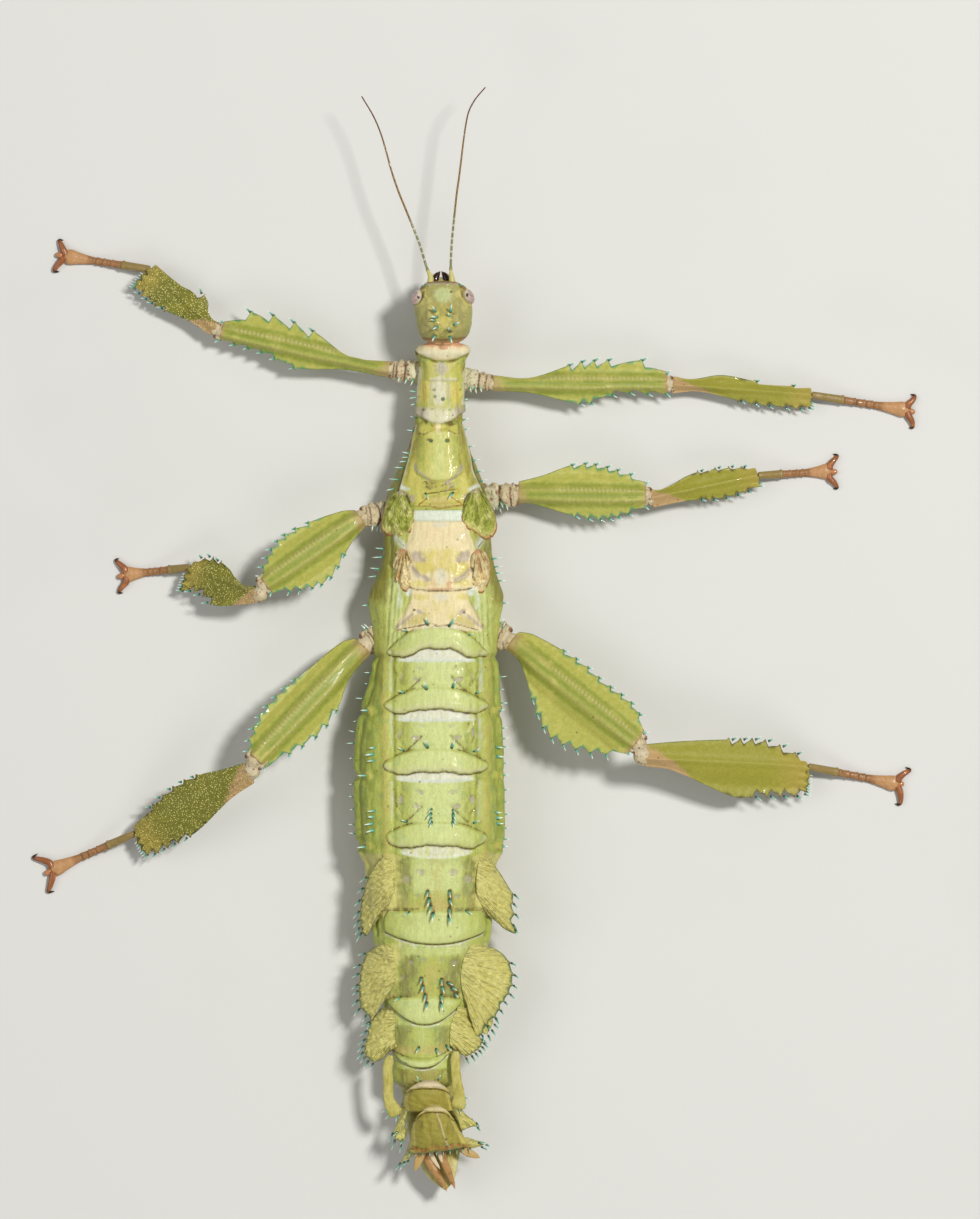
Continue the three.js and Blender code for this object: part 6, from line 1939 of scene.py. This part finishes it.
def flap_skin(name, colours, edge, line, root, fold, net=0.3, spacing=0.8, radial=0.32, depth=0.1):
    """Leafy flaps: veins running to the edge or in a net, painted shade in the troughs of the folds, a border
    and an outline.
    """
    skin = Coat(name, 0.5, 0.04)
    nodes = skin.nodes
    fanned = nodes.add("CombineXYZ", {0: nodes.mark("ray"), 1: nodes.times(nodes.mark("reach"), radial)})
    veins = {"where": fanned.outputs[0], "Spacing": spacing, "Width": 0.13}
    skin.blotch(*colours, 1.2, 0.55)
    skin.over(fold, nodes.times(skin.mask(VEINS, **veins), net))
    # Painted shade: the troughs of the crumpled surface take the darker vein colour.
    low = nodes.smooth(nodes.mark("fold"), -0.1, -1.3)
    skin.over(fold, nodes.math("MULTIPLY", low, 1.7 * net, clamp=True))
    skin.lay([("edge", edge, 0.8, 0.8), ("root", root, 0.7, 0.8), ("line", line, 0.85, 0.5)])
    skin.shade(0.4, 0.35)
    return skin.done((skin.height(VEINS, **veins), depth), (skin.height(GRAIN, Size=0.4), 0.05))


def thigh_skin():
    """Smooth leaf of a thigh: yellow between the ridges and the teal edge, pale beads on the ridges."""
    skin = Coat("thigh_cuticle", 0.45, 0.08)
    nodes = skin.nodes
    skin.blotch(THIGH_GREEN, THIGH_YELLOW, 3.0)
    skin.over(THIGH_YELLOW, nodes.times(nodes.mark("leafy"), 0.5))
    skin.lay([("groove", THIGH_GROOVE, 0.6, 0.5), ("ridge", RIDGE_DARK, 0.55, 0.6), ("stem", STEM, 0.8, 0.7)])
    phase = nodes.times(nodes.mark("along"), TURN / BEAD_PITCH)
    phase = nodes.math("ADD", phase, nodes.times(nodes.mark("across"), BEAD_SLANT))
    crest = nodes.smooth(nodes.math("COSINE", phase), -0.3, 0.7)
    beads = nodes.times(crest, skin.mask(RAGGED, Mark=nodes.mark("bead"), Reach=0.6))
    skin.over(RIDGE_PALE, nodes.times(beads, 0.5))
    skin.lay([("margin", DARK_LEAF, 0.75, 0.9), ("tooth", MARGIN_TEAL, 0.8, 0.7)])
    skin.over(RED_BROWN, nodes.times(skin.mask(PITS, Spacing=3.2, Width=0.06), 0.8))
    skin.shade(0.5, 0.4)
    return skin.done((skin.height(GRAIN, Size=0.35), 0.07))


def shin_skin():
    """Olive shin, its far end browner; on her left legs sugared with pale grains over a darker base that is
    painted shade.
    """
    skin = Coat("shin_cuticle", 0.5, 0.05)
    nodes = skin.nodes
    sugar = nodes.mark("sugar")
    # Painted shade: where the mark is 1, on her left legs, the shin takes the darker base.
    plain = nodes.mix(sugar, SHIN_OLIVE, SHIN_SHADED)
    cloud = skin.mask(BLOTCH, Size=2.2, Share=0.5)
    skin.colour = nodes.mix(nodes.times(cloud, 0.4), plain, SHIN_OLIVE)
    skin.lay([("end", SHIN_END, 0.5, 0.8), ("margin", DARK_LEAF, 0.75, 0.9), ("tooth", DARK_HORN, 0.6, 0.7),
              ("stem", SHIN_TAN, 0.9, 0.7)])
    dotted = nodes.smooth(nodes.mark("stem"), 0.0, 1.0, 0.08, 0.7)
    skin.over(RED_BROWN, nodes.times(skin.mask(PITS, Spacing=1.0, Width=0.2), dotted))
    grains = nodes.times(skin.mask(GRANULES, Spacing=0.26), skin.mask(BLOTCH, Size=0.9, Share=1.05))
    skin.over(SUGAR, nodes.times(grains, sugar))
    skin.shade(0.4, 0.4)
    raised = nodes.times(skin.height(GRANULES, Spacing=0.3), sugar)
    return skin.done((raised, 0.07), (skin.height(GRAIN, Size=0.3), 0.05))


def hip_skin():
    skin, fine = cuticle("hip_cuticle", (HIP_CREAM, HIP_ROSE), [
        ("soft", PALE, 0.9, 0.5), ("outer", KNEE_TAN, 0.45, 0.6), ("seam", RED_BROWN, 0.8, 0.7)], size=0.8)
    skin.over(RED_BROWN, skin.nodes.times(skin.mask(PITS, Spacing=0.9, Width=0.26), 0.75))
    return skin.done(fine, (skin.height(GRANULES, Spacing=0.6), 0.1))


def foot_skin():
    """Orange-brown foot joints, the first one olive, the last one lighter, the gaps dark."""
    layers = [("first", FOOT_OLIVE, 0.85, 0.3), ("last", FOOT_FLARE, 0.7, 0.6), ("seam", RED_BROWN, 0.9, 0.3)]
    return lumpy_cuticle("foot_cuticle", (FOOT_ORANGE, FOOT_TAN), layers, size=0.9, roughness=0.36, coat=0.2)


def horn(name, layers, colours):
    """Smooth glossy horn with faint streaks."""
    skin = Coat(name, 0.28, 0.4)
    skin.blotch(*colours, 0.8)
    skin.lay(layers)
    return skin.done((skin.height(GRAIN, Size=0.3), 0.02))


def spine_horn():
    """Thorns: dark teal at the foot, cyan along the middle, whitish at the tip."""
    skin = Coat("spine_horn", 0.3, 0.4)
    nodes = skin.nodes
    fine = nodes.math("SUBTRACT", nodes.noise(skin.where, 0.5, 2.0), 0.5)
    run = nodes.math("ADD", nodes.mark("tip"), nodes.times(fine, 0.3))
    skin.colour = nodes.mix(nodes.smooth(run, 0.1, 0.5), SPINE_FOOT, SPINE_TEAL)
    skin.over(SPINE_TIP, nodes.smooth(run, 0.5, 0.85))
    return skin.done((skin.height(GRAIN, Size=0.15), 0.01))


def eye_lens():
    """Mauve eye of fine facets with one small dark spot and a paler inner border."""
    skin = Coat("eye_lens", 0.25, 0.4)
    skin.blotch(EYE_MAUVE, EYE_ROSE, 0.5)
    skin.lay([("rim", EYE_CREAM, 0.75, 0.3), ("spot", EYE_DARK, 0.95, 0.1)])
    return skin.done((skin.height(GRANULES, Spacing=0.08), 0.012))


def feeler_skin():
    """Feelers grey-green near the head, yellow-brown ringed with dark joints, red-brown at the tip."""
    skin = Coat("feeler_cuticle", 0.5, 0.1)
    nodes = skin.nodes
    share = nodes.mark("share")
    skin.colour = nodes.mix(nodes.smooth(share, 0.25, 0.42), FEELER_GREEN, FEELER_BROWN)
    skin.over(RED_BROWN, nodes.smooth(share, 0.62, 0.95))
    skin.over(UMBER, nodes.times(skin.mask(BLOTCH, Size=1.2, Share=0.5), 0.4))
    ring = nodes.mix(nodes.smooth(share, 0.28, 0.36), PALE, DARK_HORN)
    skin.over(ring, nodes.times(nodes.mark("band"), 0.75))
    skin.over(HEAD_STRAW, nodes.mark("foot"))
    return skin.done((skin.height(GRAIN, Size=0.15), 0.03))


# ---- building ----

def build_body(spines):
    trunk_nodes = ["prothorax", "mesothorax", "metathorax"] + [f"abdomen_{k}" for k in range(1, 9)]
    skin = trunk_skin()
    piece("trunk", [trunk_shell()], skin, "skin", *trunk_nodes)
    piece("neck", [neck_shell()], skin, "thorax_skin")
    piece("trunk_spines", trunk_thorns(), spines, "spine_horn")
    piece("head_capsule", [head_shell()], head_skin(), "head_skin", "head")
    piece("crown_spines", crown_thorns(), spines, "spine_horn")
    lens, feeler = eye_lens(), feeler_skin()
    for side in ("left", "right"):
        piece(f"{side}_eye", [eye_shell(side)], lens, "eye_lens", f"eye_{side}")
        piece(f"{side}_feeler", [feeler_shell(side)], feeler, "feeler_skin", f"antenna_{side}")
    mouth = [("lip", LIP_OLIVE, 0.9, 0.4), ("palp", PALP_TAN, 0.9, 0.4)]
    piece("jaws", mouth_shells(), horn("mouth_horn", mouth, (JAW_DARK, JAW_RED)), "mouth_horn", "mouthparts")


WING_TEETH = ((0.3, 0.42, 0.55, 0.68, 0.8), 0.8)    # shares of the edge, and squares it juts out by


def build_flaps(spines):
    cover_skin = flap_skin("wing_cover", (WING_OLIVE, WING_YELLOW), WING_RIM, RUST, PINK_CREAM, WING_VEIN,
                           net=0.45, spacing=0.6, radial=0.8, depth=0.12)
    bud_skin = flap_skin("wing_stub", (STUB_CREAM, STUB_ROSE), STUB_RIM, RUST, ROSE, STUB_VEIN,
                         net=0.36, spacing=0.9, radial=0.8, depth=0.14)
    for seed, side in enumerate(("left", "right")):
        cover, _ = fan(*TEGMINA[side], draped(0.2, 0.75, 0.25), *WING_TEETH, 0.16, 40 + seed, 2.2)
        piece(f"wing_cover_{side}", [cover], cover_skin, "wing_skin", f"tegmen_{side}")
        bud, _ = fan(*STUBS[side], draped(0.15, 0.6, 0.2), *WING_TEETH, 0.24, 50 + seed, 1.6)
        piece(f"wing_bud_{side}", [bud], bud_skin, "wing_skin", f"hindwing_{side}")
    lobe = flap_skin("lobe_cuticle", (LOBE_OCHRE, LOBE_TAN), LOBE_RIM, LOBE_LINE, LOBE_OCHRE, LOBE_FOLD,
                     net=0.2, spacing=0.55, radial=0.45, depth=0.12)
    shells, tips = lobe_shells()
    for side, others in (("left", False), ("right", True)):
        own = [flap for name, flap in shells.items() if name.endswith("left") != others]
        piece(f"lobes_{side}", own, lobe, "skin")
    draw = np.random.default_rng(14)
    thorns = [thorn(root, root + (direction + [0, -0.35, 0]) * draw.uniform(0.8, 1.3), 0.16)
              for root, direction in tips]
    piece("lobe_spines", thorns, spines, "spine_horn")


# The egg-laying blades and the tail feelers: (column, row, height) from root to tip
BLADES = {
    "left": [(427, 1150, 6.9), (428, 1160, 6.9), (436, 1173, 6.8), (443.5, 1184, 6.7), (446.5, 1191.5, 6.7)],
    "right": [(442, 1149, 6.9), (443.5, 1160, 6.9), (448.5, 1172, 6.8), (452.5, 1182, 6.7), (455, 1189, 6.7)],
}
INNER_SHIFT = {"left": 4, "right": -3}      # columns from a blade to the paler one inside it
CERCI = {
    "left": [(424, 1149, 7.9), (419.5, 1158, 7.7), (415, 1171, 7.3)],
    "right": [(460, 1147, 7.9), (468, 1152, 7.7), (480, 1157.5, 7.4)],
}


def build_tail(spines):
    skin = tail_skin()
    piece("hood_nine", [hood(HOOD_NINE, 10, 4.0, 0.0, False)] + bar_shells(), skin, "skin", "abdomen_9")
    piece("hood_ten", [hood(HOOD_TEN, 14, 3.2, 0.13, True)], skin, "skin", "abdomen_10")
    piece("tail_plate", [tail_plate()], skin, "skin", "operculum")
    valve = horn("valve_horn", [("inner", PINK_CREAM, 0.9, 0.3)], (VALVE_ORANGE, VALVE_RED))
    for side, route in BLADES.items():
        inner = [(column + INNER_SHIFT[side], row - 4, z + 0.2) for column, row, z in route[:3]]
        shells = [blade(route, 0.56, 0.42), blade(inner, 0.36, 0.25, "inner")]
        piece(f"blade_{side}", shells, valve, "valve_horn", f"ovipositor_{side}")
    for side, route in CERCI.items():
        piece(f"{side}_cercus", [blade(route, 0.62, 0.34, "ochre")], skin, "skin", f"cercus_{side}")
    piece("tail_spines", tail_thorns(), spines, "spine_horn")


def build_legs(spines):
    thighs, shins, hips, feet = thigh_skin(), shin_skin(), hip_skin(), foot_skin()
    claws = [("tip", DARK_HORN, 0.95, 0.2), ("pad", PAD_ORANGE, 0.9, 0.2)]
    hooks = horn("claw_horn", claws, (CLAW_BROWN, CLAW_ORANGE))
    for seed, (name, leg) in enumerate(LEGS.items()):
        # Her left legs get the pale grains and the painted shade on their shins; the right ones a little of
        # both.
        sugar = 1.0 if name.endswith("left") else 0.12
        shells = [hip(leg.hip, seed + 60)] + knee(leg.hip, leg.thigh, 0.7 * leg.hip.halves[1])
        shells += knee(leg.thigh, leg.shin, 0.68 * leg.thigh.core)
        piece(f"hip_{name}", shells, hips, "hip_skin", f"coxa_{name}")
        piece(f"thigh_{name}", [leaf(leg.thigh, seed + 70, True, 0.0)], thighs, "leg_skin", f"femur_{name}")
        piece(f"shin_{name}", [leaf(leg.shin, seed + 80, False, sugar)], shins, "shin_skin", f"tibia_{name}")
        sole = tarsus(leg.shin.end, leg.shin.heights[1], leg.foot.toe)
        piece(f"foot_{name}", [sole], feet, "foot_skin", f"tarsus_{name}")
        piece(f"hooks_{name}", claw_shells(leg.foot), hooks, "claw_horn", f"claws_{name}")
        thorns = hip_thorns(leg.hip, 3 if name.startswith("fore") else 5, seed + 90)
        thorns += leaf_thorns(leg.thigh, True) + leaf_thorns(leg.shin, False)
        piece(f"leg_spines_{name}", thorns, spines, "spine_horn")


# ---- the studio ----
FLOOR_HALF = 3.0                # metres
FLOOR_STEPS = 9                 # points along each side of the floor
VIEW_DISTANCE = 1.2             # metres from the lens to the body's middle height
BODY_HEIGHT = 7.0               # mm, the height the view is framed at
AIM = (490.0, 609.5)            # the column and row the camera stands over
VIEW_HALF = 609.5               # rows from the middle to the top edge of the view
SENSOR = 36.0                   # mm
LENS_REACH = (0.05, 10.0)       # metres, the nearest and the farthest that the camera sees
ROOM_LIGHT, ROOM_STRENGTH = (0.94, 0.94, 0.92, 1), 0.22
# name: place in metres, width in metres, power in watts, tint
LAMPS = {
    "key": ((0.42, 0.26, 1.0), 0.16, 10.6, (1.0, 0.98, 0.94)),
    "fill": ((-0.8, 0.1, 1.0), 0.9, 3.6, (1, 1, 1)),
    "rear": ((0.1, -0.9, 0.9), 0.7, 2.2, (1, 1, 1)),
}


def add_to_scene(name, data):
    made = bpy.data.objects.new(name, data)
    bpy.context.scene.collection.objects.link(made)
    return made


def floor():
    mesh = bpy.data.meshes.new("floor")
    steps = np.linspace(-FLOOR_HALF, FLOOR_HALF, FLOOR_STEPS)
    x, y = np.meshgrid(steps, steps, indexing="ij")
    points = np.stack([x.ravel(), y.ravel(), np.zeros(x.size)], axis=1)
    index = np.arange(x.size).reshape(x.shape)
    faces = np.stack([index[:-1, :-1], index[1:, :-1], index[1:, 1:], index[:-1, 1:]], axis=-1)
    mesh.from_pydata(points.tolist(), [], faces.reshape(-1, 4).tolist())
    paper = Coat("floor_paper", 0.85)
    cloud = paper.mask(BLOTCH, Size=60.0, Share=0.5)
    paper.colour = paper.nodes.mix(paper.nodes.times(cloud, 0.25), FLOOR_PALE, FLOOR_GREY)
    mesh.materials.append(paper.done((paper.height(GRAIN, Size=0.6), 0.01)))
    add_to_scene("floor", mesh)


def lamp(name, position, size, power, tint):
    light = bpy.data.lights.new(name, "AREA")
    light.shape = "DISK"
    light.size = size
    light.energy = power
    light.color = tint
    made = add_to_scene(name, light)
    made.location = position
    made.rotation_euler = (-Vector(position)).to_track_quat("-Z", "Y").to_euler()


def studio():
    scene = bpy.context.scene
    scene.view_settings.view_transform = "Standard"
    floor()
    for name, settings in LAMPS.items():
        lamp(name, *settings)
    world = bpy.data.worlds.new("studio")
    world.use_nodes = True
    back = world.node_tree.nodes["Background"]
    back.inputs["Color"].default_value = ROOM_LIGHT
    back.inputs["Strength"].default_value = ROOM_STRENGTH
    scene.world = world
    data = bpy.data.cameras.new("camera")
    data.sensor_width = SENSOR
    data.lens = SENSOR / 2 * VIEW_DISTANCE / (VIEW_HALF * SQUARE * MM)
    data.clip_start, data.clip_end = LENS_REACH
    camera = add_to_scene("camera", data)
    camera.location = (plan_x(AIM[0]) * MM, plan_y(AIM[1]) * MM, BODY_HEIGHT * MM + VIEW_DISTANCE)
    scene.camera = camera


def main():
    thorns = spine_horn()
    build_body(thorns)
    build_flaps(thorns)
    build_tail(thorns)
    build_legs(thorns)
    studio()


main()
